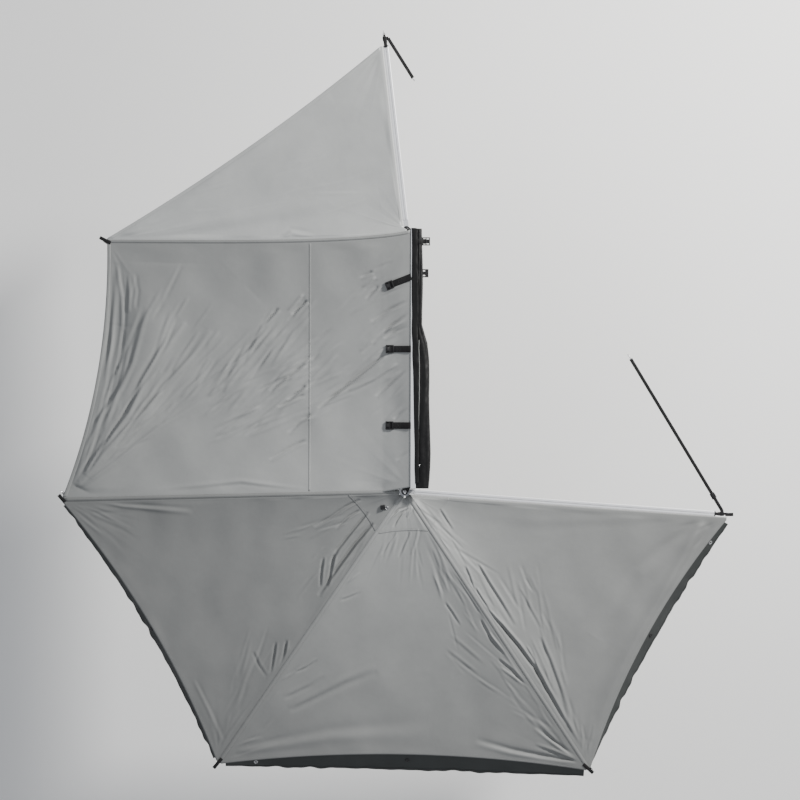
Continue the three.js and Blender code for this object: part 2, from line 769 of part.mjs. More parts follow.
const besideArm = armWidth / 2 + clothLift;
const sideOfF = { seam: armEdge(arms.f, -besideArm), hem: armEdge(arms.f, -besideArm - hemWidth) };
const sideOfA = { seam: frontEdgeA(besideArm), hem: frontEdgeA(besideArm + hemWidth) };
const sideOfC = { seam: sideEdge(-seatGap), hem: sideEdge(-hemWidth) };
const rearOfB = { seam: seamB(-seatGap), hem: seamB(-hemWidth) };

// The front panel starts a little way out along the seam, clear of the front hinge
function fromFront(line) {
  return (share) => line(seamStartShare + share * (1 - seamStartShare));
}

const frontOfB = { seam: fromFront(seamB(seatGap)), hem: fromFront(seamB(hemWidth)) };

function addPanel(name, first, second, options) {
  const { depth, towards, sag, corner, count, height, across, out, outShare } = options;
  const finish = (surface) => shaped(surface, sag, corner, count, height);
  const inner = straight(first.hem(0), second.hem(0));
  const surface = panelBetween(first, second, inner, depth, towards, across, finish);
  const stepped = outShare ? (u, v) => surface(u, outShare(v)) : surface;
  addMesh(awning, name, clothSheet(stepped, across, out, clothThick), canopyCloth);
}

function buildCanopy() {
  addPanel('canopy_side_panel', sideOfC, rearOfB, {
    depth: outerSagSide, towards: hub, sag: panelSag, corner: cornerC, count: sideFoldCount, height: foldHeight,
    across: 24, out: seamSteps, outShare: sideOut,
  });
  addPanel('canopy_front_panel', frontOfB, sideOfA, {
    depth: outerSagFront, towards: front, sag: panelSag, corner: cornerB, count: frontFoldCount, height: foldHeight,
    across: 16, out: seamSteps - seamSkipped, outShare: frontOut,
  });
  const rear = { depth: outerSagRear, towards: hub, sag: panelSag, count: rearFoldCount, height: foldHeightRear };
  const steps = { across: 18, out: 14 };
  const towardsD = { ...rear, ...steps, corner: cornerD };
  const towardsE = { ...rear, ...steps, corner: cornerE };
  addPanel('canopy_rear_left_panel', armSide(arms.c, 1), armSide(arms.d, -1), towardsD);
  addPanel('canopy_rear_panel', armSide(arms.d, 1), armSide(arms.e, -1), towardsE);
  addPanel('canopy_rear_right_panel', armSide(arms.e, 1), sideOfF, towardsE);
}

// Valance: a dark flap under an outer edge, whose own lower edge is cut straight between the corners
function buildValance(name, from, to) {
  const outer = outerEdge(from, to, hub, outerSagRear);
  const away = new THREE.Vector3(to.y - from.y, from.x - to.x, 0).normalize();
  if (away.dot(new THREE.Vector3(hub.x - from.x, hub.y - from.y, 0)) > 0) {
    away.negate();
  }
  const surface = (across, out) => {
    const top = outer(across).addScaledVector(away, clothLift);
    top.z -= clothThick + clothLift;
    const low = between(from, to, across).addScaledVector(away, valanceFlare);
    low.z -= valanceDrop * (valanceEndShare + (1 - valanceEndShare) * bow(across));
    low.z -= valanceWave * Math.sin(across * Math.PI * valanceWaves);
    return between(top, low, out);
  };
  const trimmed = (across, out) => surface(valanceTrimShare + (1 - 2 * valanceTrimShare) * across, out);
  addMesh(awning, name, clothSheet(trimmed, valanceAcross, 2, clothThick), valanceCloth);
}

function buildValances() {
  buildValance('valance_rear_left', cornerC, cornerD);
  buildValance('valance_rear', cornerD, cornerE);
  buildValance('valance_rear_right', cornerE, cornerF);
}

// Bag: the empty transit cover, lying folded on the brackets along the rail. Its height over them.
function bagPoint(along, turn) {
  const swell = bagBulge * Math.sin(along * Math.PI * bagSwells + 1) * bow(along);
  const taper = 1 - bagTaperShare * Math.pow(2 * along - 1, bagTaperPower);
  const width = (bagWidth + swell) * taper;
  const lean = Math.sign(Math.cos(turn)) * Math.pow(Math.abs(Math.cos(turn)), bagSquareShare);
  const rise = Math.pow(Math.max(0, Math.sin(turn)), bagCrownShare);
  return new THREE.Vector3(
    inside + seatGap + (width / 2) * (1 + lean),
    railRear + along * (railFront - railRear),
    bracketThick + seatGap + (bagHeight + swell / 2) * taper * rise,
  );
}

function buildBag() {
  const rows = [];
  for (let j = 0; j <= bagSteps; j += 1) {
    const row = [];
    for (let i = 0; i < bagSides; i += 1) {
      row.push(bagPoint(j / bagSteps, (2 * Math.PI * i) / bagSides));
    }
    rows.push(row);
  }
  addMesh(awning, 'bag', lofted(rows), bagCloth);
}

// A closed body from rows of points that go round it, capped with a fan at each end
function lofted(rows) {
  const positions = [];
  const index = [];
  const sides = rows[0].length;
  for (const row of rows) {
    for (const point of row) {
      positions.push(point.x, point.y, point.z);
    }
  }
  for (let j = 0; j + 1 < rows.length; j += 1) {
    for (let i = 0; i < sides; i += 1) {
      const a = j * sides + i;
      const b = j * sides + ((i + 1) % sides);
      index.push(a, a + sides, b, b, a + sides, b + sides);
    }
  }
  for (const [row, turned] of [[0, false], [rows.length - 1, true]]) {
    const centre = rows[row].reduce((sum, point) => sum.add(point), new THREE.Vector3());
    centre.divideScalar(sides);
    const middle = positions.length / 3;
    positions.push(centre.x, centre.y, centre.z);
    for (let i = 0; i < sides; i += 1) {
      const a = row * sides + i;
      const b = row * sides + ((i + 1) % sides);
      index.push(middle, turned ? b : a, turned ? a : b);
    }
  }
  const geometry = new THREE.BufferGeometry();
  geometry.setAttribute('position', new THREE.Float32BufferAttribute(positions, 3));
  geometry.setIndex(index);
  return geometry;
}

// A flat strap over a line of points, with its width along Y
function ribbon(route, width, steps, skew = 0) {
  const surface = (across, out) => {
    const point = route(out);
    point.y += (across - 0.5) * width + skew * out;
    return point;
  };
  return clothSheet(surface, 2, steps, strapThick);
}

// An open frame buckle lying flat, with a bar across its middle
function frameBuckle(x, y, z) {
  const frame = plate(roundedShape(buckleLength, buckleWidth, buckleFrame), 0, buckleThick);
  const windowLength = (buckleLength - 3 * buckleFrame) / 2;
  const windows = [-1, 1].map((side) => {
    const opening = plate(roundedShape(windowLength, buckleWidth - 2 * buckleFrame, buckleFrame / 4),
      -cutOver, buckleThick + cutOver);
    return opening.translate(side * (windowLength + buckleFrame) / 2, 0, 0);
  });
  return cut(solid(frame), windows).translate([x, y, z]);
}

// The height of the side panel over a place near the rail, found by stepping to that place on it
function sidePanelZ(x, y) {
  const { seam, hem } = sideOfC;
  const rail = straight(hem(0), rearOfB.hem(0));
  const outer = outerEdge(hem(1), rearOfB.hem(1), hub, outerSagSide);
  const surface = shaped(filled(rail, outer, hem, rearOfB.hem), panelSag, cornerC, sideFoldCount, foldHeight);
  const length = rearOfB.hem(0).y - hem(0).y;
  const reach = railOuter - cornerB.x;
  let across = (y - seam(0).y) / length;
  let out = (railOuter - x) / reach;
  for (let i = 0; i < heightSearches; i += 1) {
    const point = surface(across, out);
    across = THREE.MathUtils.clamp(across + (y - point.y) / length, 0, 1);
    out = THREE.MathUtils.clamp(out + (point.x - x) / reach, 0, 1);
  }
  return surface(across, out).z;
}

// Storage straps: each is sewn down at the rail and lies out over the canopy, with its buckle at the end
function buildStorageStraps() {
  const places = [['front', storageFar, storageSkew], ['middle', storageMiddle, 0], ['rear', storageNear, 0]];
  for (const [place, y, skew] of places) {
    const route = (share) => {
      const x = railOuter + storageRest - share * (storageReach + storageRest);
      if (x > railOuter) {
        return new THREE.Vector3(x, y, railTop + seatGap + strapThick);
      }
      const drape = (railOuter - x) / storageReach;
      const canopy = sidePanelZ(x, y - skew * share) + storageClear + strapThick;
      const start = railTop + seatGap + strapThick;
      return new THREE.Vector3(x, y, canopy + (start - canopy) * Math.exp(-drape * storageDrape));
    };
    const band = solid(ribbon(route, storageWidth, strapSteps, -skew));
    const end = route(1 - buckleLength / 2 / (storageReach + storageRest));
    const buckle = frameBuckle(end.x, y - skew, end.z - strapThick * buckleSinkShare);
    addMesh(awning, `storage_strap_${place}`, geometryOf(band.add(buckle)), webbing);
  }
}

// Bag strap: a short strap over the front end of the bag, with the same kind of buckle
function buildBagStrap() {
  const along = (bagStrapY - railRear) / (railFront - railRear);
  const route = (share) => {
    const turn = Math.PI - share * Math.PI * bagStrapReach / bagWidth / 2;
    const point = bagPoint(along, turn);
    point.y = bagStrapY;
    point.z += bagStrapClear + strapThick;
    return point;
  };
  const start = (share) => route(bagStrapStartShare + share * (1 - bagStrapStartShare));
  const band = solid(ribbon(start, bagStrapWidth, strapSteps));
  const end = start(1);
  const buckle = frameBuckle(end.x, bagStrapY, end.z - strapThick * buckleSinkShare);
  addMesh(awning, 'bag_strap', geometryOf(band.add(buckle)), webbing);
}

// The frame of a straight strap from one point to another: X along it, Y across it and level
function strapFrame(from, to) {
  const along = to.clone().sub(from).normalize();
  const across = new THREE.Vector3(-along.y, along.x, 0).normalize();
  const up = along.clone().cross(across);
  return new THREE.Matrix4().makeBasis(along, across, up).setPosition(from);
}

// The frame of a tip bracket: X out along it from its swivel pin
function tipFrame(arm) {
  const place = new THREE.Group();
  const pivot = new THREE.Group();
  pivot.position.set(arm.pin.x, arm.pin.y, arm.pin.z - armHeight / 2 - arm.level * levelPitch);
  pivot.rotation.z = radians(arm.azimuth);
  const sloped = new THREE.Group();
  sloped.position.x = neckReach;
  sloped.rotation.y = radians(arm.droop);
  const swivel = new THREE.Group();
  swivel.position.x = arm.reach - neckReach - tipLength / 2;
  swivel.rotation.z = radians(arm.tipTurn);
  place.add(pivot);
  pivot.add(sloped);
  sloped.add(swivel);
  place.updateMatrixWorld(true);
  return swivel.matrixWorld;
}

// A tie strap: a loop round the tip bracket, a sewn tab on the vehicle's side, and the free stretch
function tieStrap(arm, side, end) {
  const halfHeight = tipTongueThick / 2 + seatGap + tipPlateThick + seatGap;
  const halfWidth = tipWidth / 2 - seatGap;
  const bandEnd = tieBandStart + tieWidth;
  const band = cut(
    solid(box(tieBandStart, bandEnd, -halfWidth - tieThick, halfWidth + tieThick, -halfHeight - tieThick,
      halfHeight + tieThick)),
    [box(tieBandStart - cutOver, bandEnd + cutOver, -halfWidth, halfWidth, -halfHeight, halfHeight)],
  );
  const near = side * (halfWidth + tieThick / 2);
  const far = side * (halfWidth + tieTab);
  const tab = box(tieBandStart, bandEnd, Math.min(near, far), Math.max(near, far), -tieTabHeight / 2,
    tieTabHeight / 2);
  const loop = geometryOf(band.add(solid(tab))).applyMatrix4(tipFrame(arm));
  const start = new THREE.Vector3(tieBandStart + tieWidth / 2, far - side * tieThick, 0).applyMatrix4(tipFrame(arm));
  const length = start.distanceTo(end);
  const stretch = box(0, length, -tieWidth / 2, tieWidth / 2, -tieThick / 2, tieThick / 2);
  stretch.applyMatrix4(strapFrame(start, end));
  return { geometry: geometryOf(joined([loop, stretch])), start };
}

// Hook: round wire with a straight shank and most of a turn
function tieHook(start, end) {
  const points = [new THREE.Vector3(seatGap, 0, 0), new THREE.Vector3(hookShank / 2, 0, 0)];
  for (let i = 0; i <= hookSteps; i += 1) {
    const angle = Math.PI / 2 - (i / hookSteps) * Math.PI * hookTurnShare;
    points.push(new THREE.Vector3(hookShank + hookRadius * Math.cos(angle), 0,
      hookRadius * Math.sin(angle) - hookRadius));
  }
  const wire = new THREE.Shape();
  for (let i = 0; i < smallSides; i += 1) {
    const angle = (Math.PI * 2 * i) / smallSides;
    const place = [hookWire * Math.cos(angle), hookWire * Math.sin(angle)];
    if (i === 0) {
      wire.moveTo(...place);
    } else {
      wire.lineTo(...place);
    }
  }
  const extrudePath = new THREE.CatmullRomCurve3(points);
  const hook = new THREE.ExtrudeGeometry(wire, { steps: hookSlices, bevelEnabled: false, extrudePath });
  const frame = strapFrame(start, end).setPosition(end);
  return hook.applyMatrix4(frame);
}

// Cam buckle that the rear tie strap runs through
function tieBuckle(start, end) {
  const block = runAlongX(roundedShape(tieBuckleWidth, tieBuckleThick, tieThick), 0, tieBuckleLength);
  const slot = box(-cutOver, tieBuckleLength + cutOver, -tieWidth / 2 - seatGap, tieWidth / 2 + seatGap,
    -tieThick / 2 - seatGap, tieThick / 2 + seatGap);
  const lever = box(tieBuckleLength * leverStartShare, tieBuckleLength * leverEndShare,
    -tieBuckleWidth * leverWidthShare / 2, tieBuckleWidth * leverWidthShare / 2,
    tieBuckleThick / 2 - tieThick, tieBuckleThick / 2 + tieThick);
  const buckle = geometryOf(cut(joined([block, lever]), [slot]));
  buckle.translate(tieBuckleAt, 0, 0);
  return buckle.applyMatrix4(strapFrame(start, end));
}

function buildTies() {
  const rear = tieStrap(arms.f, 1, rearTieEnd);
  addMesh(awning, 'rear_tie_strap', rear.geometry, webbing);
  addMesh(awning, 'rear_tie_buckle', tieBuckle(rear.start, rearTieEnd), blackPlastic);
  addMesh(awning, 'rear_tie_hook', tieHook(rear.start, rearTieEnd), steel);
  const frontTie = tieStrap(arms.a, -1, frontTieEnd);
  addMesh(awning, 'front_tie_strap', frontTie.geometry, webbing);
  addMesh(awning, 'front_tie_hook', tieHook(frontTie.start, frontTieEnd), steel);
}

buildRail();
buildRailCaps();
['rear', 'middle', 'front'].forEach((place, i) => {
  buildMountBracket(`mount_bracket_${place}`, (i - 1) * bracketPitch);
});
buildHinges();
for (const [letter, arm] of Object.entries(arms)) {
  buildArm(letter, arm);
}
buildCanopy();
buildValances();
buildBag();
buildStorageStraps();
buildBagStrap();
buildTies();

export default awning;
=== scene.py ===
# %% [markdown]
# # Vehicle side awning, opened out
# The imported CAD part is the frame, in metres: +Z up, +Y towards the vehicle's front, +X towards the
# vehicle. This lesson dresses it: camera first, then the tie straps, the cloth with its folds and
# seams, the straps and the bag, the materials, and last the floor and the light.

# %% Load the frame
import math

import bpy
import numpy as np
from mathutils import Matrix, Vector


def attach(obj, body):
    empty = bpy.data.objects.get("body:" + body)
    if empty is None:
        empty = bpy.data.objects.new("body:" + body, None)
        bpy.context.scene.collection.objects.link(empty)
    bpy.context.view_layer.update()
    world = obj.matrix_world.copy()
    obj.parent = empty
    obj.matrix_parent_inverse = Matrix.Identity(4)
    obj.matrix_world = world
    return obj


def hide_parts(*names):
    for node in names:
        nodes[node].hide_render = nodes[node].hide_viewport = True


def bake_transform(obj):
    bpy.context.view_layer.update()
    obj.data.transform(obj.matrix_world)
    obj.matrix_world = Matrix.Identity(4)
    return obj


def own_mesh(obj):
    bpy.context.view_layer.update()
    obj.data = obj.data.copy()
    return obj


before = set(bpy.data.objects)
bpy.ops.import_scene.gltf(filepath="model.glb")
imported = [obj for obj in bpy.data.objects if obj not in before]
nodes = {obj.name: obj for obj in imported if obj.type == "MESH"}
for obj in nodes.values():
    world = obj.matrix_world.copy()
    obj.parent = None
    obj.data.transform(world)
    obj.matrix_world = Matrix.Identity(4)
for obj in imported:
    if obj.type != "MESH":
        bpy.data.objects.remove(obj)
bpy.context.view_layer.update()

scene = bpy.context.scene
print("CAD nodes:", len(nodes))

# %% [markdown]
# ## Camera
# The photograph is taken from straight above, with the vehicle's front at the top and a small roll.

# %% Camera
RAIL_TOP = 0.050
CAMERA_CENTRE = (-0.1608, -0.2884)
CAMERA_HEIGHT = 18.0
VIEW_WIDTH = 5.84
SENSOR = 36.0
ROLL = math.radians(0.15)

camera_data = bpy.data.cameras.new("camera")
camera_data.sensor_width = SENSOR
camera_data.lens = SENSOR * (CAMERA_HEIGHT - RAIL_TOP) / VIEW_WIDTH
camera = bpy.data.objects.new("camera", camera_data)
camera.location = (*CAMERA_CENTRE, CAMERA_HEIGHT)
camera.rotation_euler = (0, 0, ROLL)
scene.collection.objects.link(camera)
scene.camera = camera
print("camera lens:", round(camera_data.lens, 1))

# %% [markdown]
# ## Sizes
# These repeat the driving sizes of the CAD part, in metres, so that each piece lies where the solids do.
# Each arm is level over its neck and droops from there on. The cloth lies a lift above the arms, with a
# gap between neighbours, and is cut away round the pins. The kink is the share of the side panel's
# edge that runs from the rail to arm C.

# %% Sizes from the CAD part
RAIL_OUTER = -0.0833
RAIL_REAR = -0.935
RAIL_FRONT = 0.965
HUB = np.array([-0.1243, -0.960, -0.022])
FRONT = np.array([-0.1163, 0.960, 0.020])
ARM_WIDTH = 0.038
ARM_HEIGHT = 0.025
LEVEL_PITCH = 0.027
NECK = 0.070
TIP_LENGTH = 0.066
CLOTH = 0.002
LIFT = 0.001
GAP = 0.0003
HEM = 0.022
HUB_CUT = 0.040
FRONT_CUT = 0.030
RAIL_CORNER_INSET = 0.010
PANEL_SAG, FRONT_SAG = 0.034, 0.0119
KINK = 0.1
BESIDE_ARM = ARM_WIDTH / 2 + LIFT


class Arm:
    """A straight arm on one of the two pins, drooping outwards, with a tip bracket at its end."""

    def __init__(self, pin, reach, azimuth, level, droop, tip_turn, corner):
        self.pin = pin
        self.reach = reach
        self.angle = math.radians(azimuth)
        self.top = pin[2] - level * LEVEL_PITCH
        self.droop = math.radians(droop)
        self.tip_turn = math.radians(tip_turn)
        self.tip = reach - TIP_LENGTH / 2 + corner

    def over(self, along, side, lift):
        """Points over the arm: along it from its pin, to its left side, and above its top."""
        along = np.asarray(along, float)
        slope = (along - NECK) * math.sin(self.droop)
        return np.stack(
            [
                self.pin[0] + along * math.cos(self.angle) - side * math.sin(self.angle),
                self.pin[1] + along * math.sin(self.angle) + side * math.cos(self.angle),
                self.top - slope + lift,
            ],
            -1,
        )

    def tip_frame(self):
        """The frame of the swivelling tip bracket, X out along it from its swivel pin."""
        middle = self.top - ARM_HEIGHT / 2
        base = Matrix.Translation((self.pin[0], self.pin[1], middle))
        base = base @ Matrix.Rotation(self.angle, 4, "Z")
        sloped = base @ Matrix.Translation((NECK, 0, 0)) @ Matrix.Rotation(self.droop, 4, "Y")
        out = self.reach - NECK - TIP_LENGTH / 2
        return sloped @ Matrix.Translation((out, 0, 0)) @ Matrix.Rotation(self.tip_turn, 4, "Z")


ARMS = {
    "a": Arm(FRONT, 1.411, 96.6, 0, 1, 3, -0.025),
    "b": Arm(HUB, 2.877, 140.2, 4, 3, 13, 0.040),
    "c": Arm(HUB, 2.517, 181.6, 0, 3, -50, 0.040),
    "d": Arm(HUB, 2.423, 235.7, 1, 3, -5, 0.040),
    "e": Arm(HUB, 2.458, 303.6, 2, 3, 14, 0.040),
    "f": Arm(HUB, 2.367, 355.9, 3, 3, 5, 0.060),
}
print("arms:", len(ARMS))

# %% [markdown]
# ## Helpers
# A piece is a closed mesh with its faces outwards. Sheets are made from a grid of points with a
# thickness below them, and solids from rows of points that go round them.

# %% Helpers
SMOOTH_BELOW = math.radians(40)
ROUND_SIDES, RING_STEPS = 10, 40
WEBBING_HALF = [(-0.5, -0.2), (-0.47, -0.5), (0, -0.5), (0.47, -0.5), (0.5, -0.2)]


def link(name, vertices, faces, smooth=True):
    """A new object in the scene from points and faces."""
    mesh = bpy.data.meshes.new(name)
    mesh.from_pydata([tuple(map(float, v)) for v in vertices], [], faces)
    mesh.update()
    mesh.shade_smooth() if smooth else mesh.shade_flat()
    piece = bpy.data.objects.new(name, mesh)
    scene.collection.objects.link(piece)
    return piece


def sheet_mesh(name, top, thick):
    """A closed sheet under a grid of points [out, across, 3], with flat edges."""
    rows, columns = top.shape[:2]
    across = top[rows // 2, columns // 2 + 1] - top[rows // 2, columns // 2]
    out = top[rows // 2 + 1, columns // 2] - top[rows // 2, columns // 2]
    if np.cross(across, out)[2] < 0:
        top = top[:, ::-1]
    flat = top.reshape(-1, 3)
    low = flat - np.array([0, 0, thick])
    vertices = np.concatenate([flat, low])
    layer = rows * columns
    index = np.arange(layer).reshape(rows, columns)
    a, b = index[:-1, :-1].ravel(), index[:-1, 1:].ravel()
    c, d = index[1:, 1:].ravel(), index[1:, :-1].ravel()
    faces = np.stack([a, b, c, d], 1).tolist() + (np.stack([a, d, c, b], 1) + layer).tolist()
    rim = np.concatenate([index[0, :-1], index[:-1, -1], index[-1, :0:-1], index[:0:-1, 0]])
    following = np.roll(rim, -1)
    faces += np.stack([rim, rim + layer, following + layer, following], 1).tolist()
    piece = link(name, vertices, faces)
    smooth = np.ones(len(piece.data.polygons), bool)
    smooth[-len(rim) :] = False
    piece.data.polygons.foreach_set("use_smooth", smooth)
    return piece


def tube_mesh(name, rows):
    """A closed body from rows of points that go round it, with a fan at each end."""
    rows = np.asarray(rows, float)
    count, sides = rows.shape[:2]
    vertices = list(rows.reshape(-1, 3)) + [rows[0].mean(0), rows[-1].mean(0)]
    faces = []
    for j in range(count - 1):
        for i in range(sides):
            a, b = j * sides + i, j * sides + (i + 1) % sides
            faces.append((a, b, b + sides, a + sides))
    last = (count - 1) * sides
    for i in range(sides):
        following = (i + 1) % sides
        faces.append((count * sides, following, i))
        faces.append((count * sides + 1, last + i, last + following))
    piece = link(name, vertices, faces)
    turn_outwards(piece)
    return piece


def turn_outwards(piece):
    """Turns all faces of a closed mesh round if they face inwards."""
    mesh = piece.data
    volume = sum(mesh.vertices[p.vertices[0]].co.dot(p.normal) * p.area for p in mesh.polygons)
    if volume < 0:
        mesh.flip_normals()


def box_mesh(name, size, place=Matrix.Identity(4), bevel=0.0):
    """A box centred on its own frame, placed and with soft edges."""
    x, y, z = (s / 2 for s in size)
    corners = [(sx * x, sy * y, sz * z) for sz in (-1, 1) for sy in (-1, 1) for sx in (-1, 1)]
    faces = [(0, 2, 3, 1), (4, 5, 7, 6), (0, 1, 5, 4), (2, 6, 7, 3), (0, 4, 6, 2), (1, 3, 7, 5)]
    piece = link(name, corners, faces, smooth=False)
    if bevel:
        rounded(piece, bevel)
    piece.data.transform(place)
    return piece


def rounded(piece, width):
    """Bevels a piece's edges for good."""
    modifier = piece.modifiers.new("bevel", "BEVEL")
    modifier.width = width
    modifier.segments = 2
    modifier.limit_method = "ANGLE"
    settle(piece)
    piece.data.shade_smooth()
    piece.data.set_sharp_from_angle(angle=SMOOTH_BELOW)


def settle(piece):
    """Applies a piece's modifiers to its mesh."""
    bpy.context.view_layer.update()
    evaluated = piece.evaluated_get(bpy.context.evaluated_depsgraph_get())
    mesh = bpy.data.meshes.new_from_object(evaluated)
    piece.modifiers.clear()
    piece.data = mesh


def joined(name, pieces):
    """One piece from several closed ones."""
    with bpy.context.temp_override(active_object=pieces[0], selected_editable_objects=pieces):
        bpy.ops.object.join()
    pieces[0].name = name
    return pieces[0]


def along_path(points):
    """Unit directions of a line of points."""
    step = np.gradient(np.asarray(points, float), axis=0)
    return step / np.linalg.norm(step, axis=1, keepdims=True)


def webbing_mesh(name, points, across, width, thick):
    """A flat strap whose middle follows the points, with rounded edges."""
    points = np.asarray(points, float)
    direction = along_path(points)
    side = np.asarray(across, float) - direction * (direction @ np.asarray(across, float))[:, None]
    side /= np.linalg.norm(side, axis=1, keepdims=True)
    up = np.cross(direction, side)
    profile = WEBBING_HALF + [(-x, -z) for x, z in WEBBING_HALF]
    rows = []
    for p, s, u in zip(points, side, up):
        rows.append([p + s * width * x + u * thick * z for x, z in profile])
    return tube_mesh(name, rows)


def round_mesh(name, points, radius):
    """A round wire or rod along the points."""
    points = np.asarray(points, float)
    direction = along_path(points)
    side = np.cross(direction[0], (0.3, 0.2, 1.0))
    turns = np.linspace(0, 2 * math.pi, ROUND_SIDES, endpoint=False)
    rows = []
    for point, along in zip(points, direction):
        side = side - along * (side @ along)
        side /= np.linalg.norm(side)
        up = np.cross(along, side)
        rows.append([point + radius * (math.cos(t) * side + math.sin(t) * up) for t in turns])
    return tube_mesh(name, rows)


def ring_mesh(name, place, radius, wire):
    """A round ring of wire about the Z axis of its own frame."""
    vertices = []
    faces = []
    steps, sides = RING_STEPS, ROUND_SIDES
    for j in range(steps):
        angle = 2 * math.pi * j / steps
        for i in range(sides):
            around = 2 * math.pi * i / sides
            out = radius + wire * math.cos(around)
            vertices.append((out * math.cos(angle), out * math.sin(angle), wire * math.sin(around)))
            a, b = j * sides + i, j * sides + (i + 1) % sides
            c, d = ((j + 1) % steps) * sides + (i + 1) % sides, ((j + 1) % steps) * sides + i
            faces.append((a, d, c, b))
    piece = link(name, vertices, faces)
    piece.data.transform(place)
    turn_outwards(piece)
    return piece


print("helpers ready")

# %% [markdown]
# ## Shared shader groups
# Node groups hold the effects that several materials share: slow cloudy variation, and the woven grain
# of cloth over its small creases.

# %% Shared shader groups
def new_group(name, inputs, outputs, tree="ShaderNodeTree"):
    """A node group with its sockets, and its input and output nodes."""
    group = bpy.data.node_groups.new(name, tree)
    for label, kind in inputs:
        group.interface.new_socket(label, in_out="INPUT", socket_type=kind)
    for label, kind in outputs:
        group.interface.new_socket(label, in_out="OUTPUT", socket_type=kind)
    return group, group.nodes.new("NodeGroupInput"), group.nodes.new("NodeGroupOutput")


def add(tree, kind, **values):
    """A node with its settings, and with constants on its input sockets."""
    node = tree.nodes.new(kind)
    for key, value in values.items():
        if hasattr(node, key):
            setattr(node, key, value)
        else:
            socket = int(key[1:]) if key[1:].isdigit() else key.replace("_", " ")
            node.inputs[socket].default_value = value
    return node


def wire(tree, *links):
    """Joins sockets. Each link is a node, its output, the next node and its input."""
    for source, output, target, socket in links:
        tree.links.new(source.outputs[output], target.inputs[socket])


def floats(*labels):
    return [(label, "NodeSocketFloat") for label in labels]


PLACE = ("Place", "NodeSocketVector")


THREAD_HIGH, CRUMPLE_HIGH = 0.0004, 0.01


def make_cloud_group():
    """A slow cloudy mask about 0.5."""
    group, start, end = new_group("clouds", [PLACE] + floats("Scale", "Contrast"), floats("Mask"))
    noise = add(group, "ShaderNodeTexNoise", Detail=5.0, Roughness=0.62)
    centred = add(group, "ShaderNodeMath", operation="SUBTRACT", _1=0.5)
    scaled = add(group, "ShaderNodeMath", operation="MULTIPLY")
    back = add(group, "ShaderNodeMath", operation="ADD", use_clamp=True, _1=0.5)
    wire(
        group,
        (start, "Place", noise, "Vector"),
        (start, "Scale", noise, "Scale"),
        (noise, 0, centred, 0),
        (centred, 0, scaled, 0),
        (start, "Contrast", scaled, 1),
        (scaled, 0, back, 0),
        (back, 0, end, "Mask"),
    )
    return group


def make_weave_group():
    """A normal with the grain of woven cloth over small creases."""
    inputs = [PLACE] + floats("Thread", "Depth", "Crumple")
    group, start, end = new_group("weave", inputs, [("Normal", "NodeSocketVector")])
    grain = add(group, "ShaderNodeMath", operation="MULTIPLY")
    for number, axis in enumerate("XY"):
        wave = add(group, "ShaderNodeTexWave", wave_type="BANDS", bands_direction=axis, Distortion=0.4)
        wire(
            group,
            (start, "Place", wave, "Vector"),
            (start, "Thread", wave, "Scale"),
            (wave, "Fac", grain, number),
        )
    fine = add(group, "ShaderNodeBump", Distance=THREAD_HIGH)
    noise = add(group, "ShaderNodeTexNoise", Scale=11.0, Detail=6.0, Roughness=0.55)
    crumple = add(group, "ShaderNodeBump", Distance=CRUMPLE_HIGH)
    wire(
        group,
        (start, "Depth", fine, "Strength"),
        (grain, 0, fine, "Height"),
        (start, "Place", noise, "Vector"),
        (start, "Crumple", crumple, "Strength"),
        (noise, 0, crumple, "Height"),
        (fine, 0, crumple, "Normal"),
        (crumple, 0, end, "Normal"),
    )
    return group


CLOUDS = make_cloud_group()
WEAVE = make_weave_group()
print("shader groups:", CLOUDS.name, WEAVE.name)

# %% [markdown]
# ## Materials
# Each material is procedural. Cloth reads its place from an attribute that stays with its points when it
# folds, so its pattern folds too; stiff pieces read the object's own place. The canopy's cloth also
# carries painted light and shade: each panel has its own brightness, and the cloth darkens outwards from
# the hub.

# %% Materials
CLOTH_CONTRAST, METAL_CONTRAST = 1.6, 1.2
METAL_SCALE, METAL_MARKS = 14.0, 60.0
MARK_STRENGTH, MARK_HIGH = 0.12, 0.0006
ROUGH_SPREAD = (-0.08, 0.12)


def new_material(name, rough, metal=0.0):
    """A material with its node tree and its shader."""
    made = bpy.data.materials.new(name)
    made.use_nodes = True
    tree = made.node_tree
    shader = tree.nodes["Principled BSDF"]
    shader.inputs["Roughness"].default_value = rough
    shader.inputs["Metallic"].default_value = metal
    return made, tree, shader


def place_on(tree, kept):
    """The place that patterns follow: kept with a soft piece's points, or the object's own."""
    if kept:
        return add(tree, "ShaderNodeAttribute", attribute_name="rest_place").outputs["Vector"]
    return add(tree, "ShaderNodeTexCoord").outputs["Object"]


def tinted(tree, shader, dark, light, scale, contrast, place):
    """Colours a material between two tones by a cloudy mask."""
    clouds = add(tree, "ShaderNodeGroup", node_tree=CLOUDS, Scale=scale, Contrast=contrast)
    tree.links.new(place, clouds.inputs["Place"])
    mix = add(tree, "ShaderNodeMix", data_type="RGBA")
    mix.inputs[6].default_value = (*dark, 1)
    mix.inputs[7].default_value = (*light, 1)
    wire(tree, (clouds, "Mask", mix, 0), (mix, 2, shader, "Base Color"))


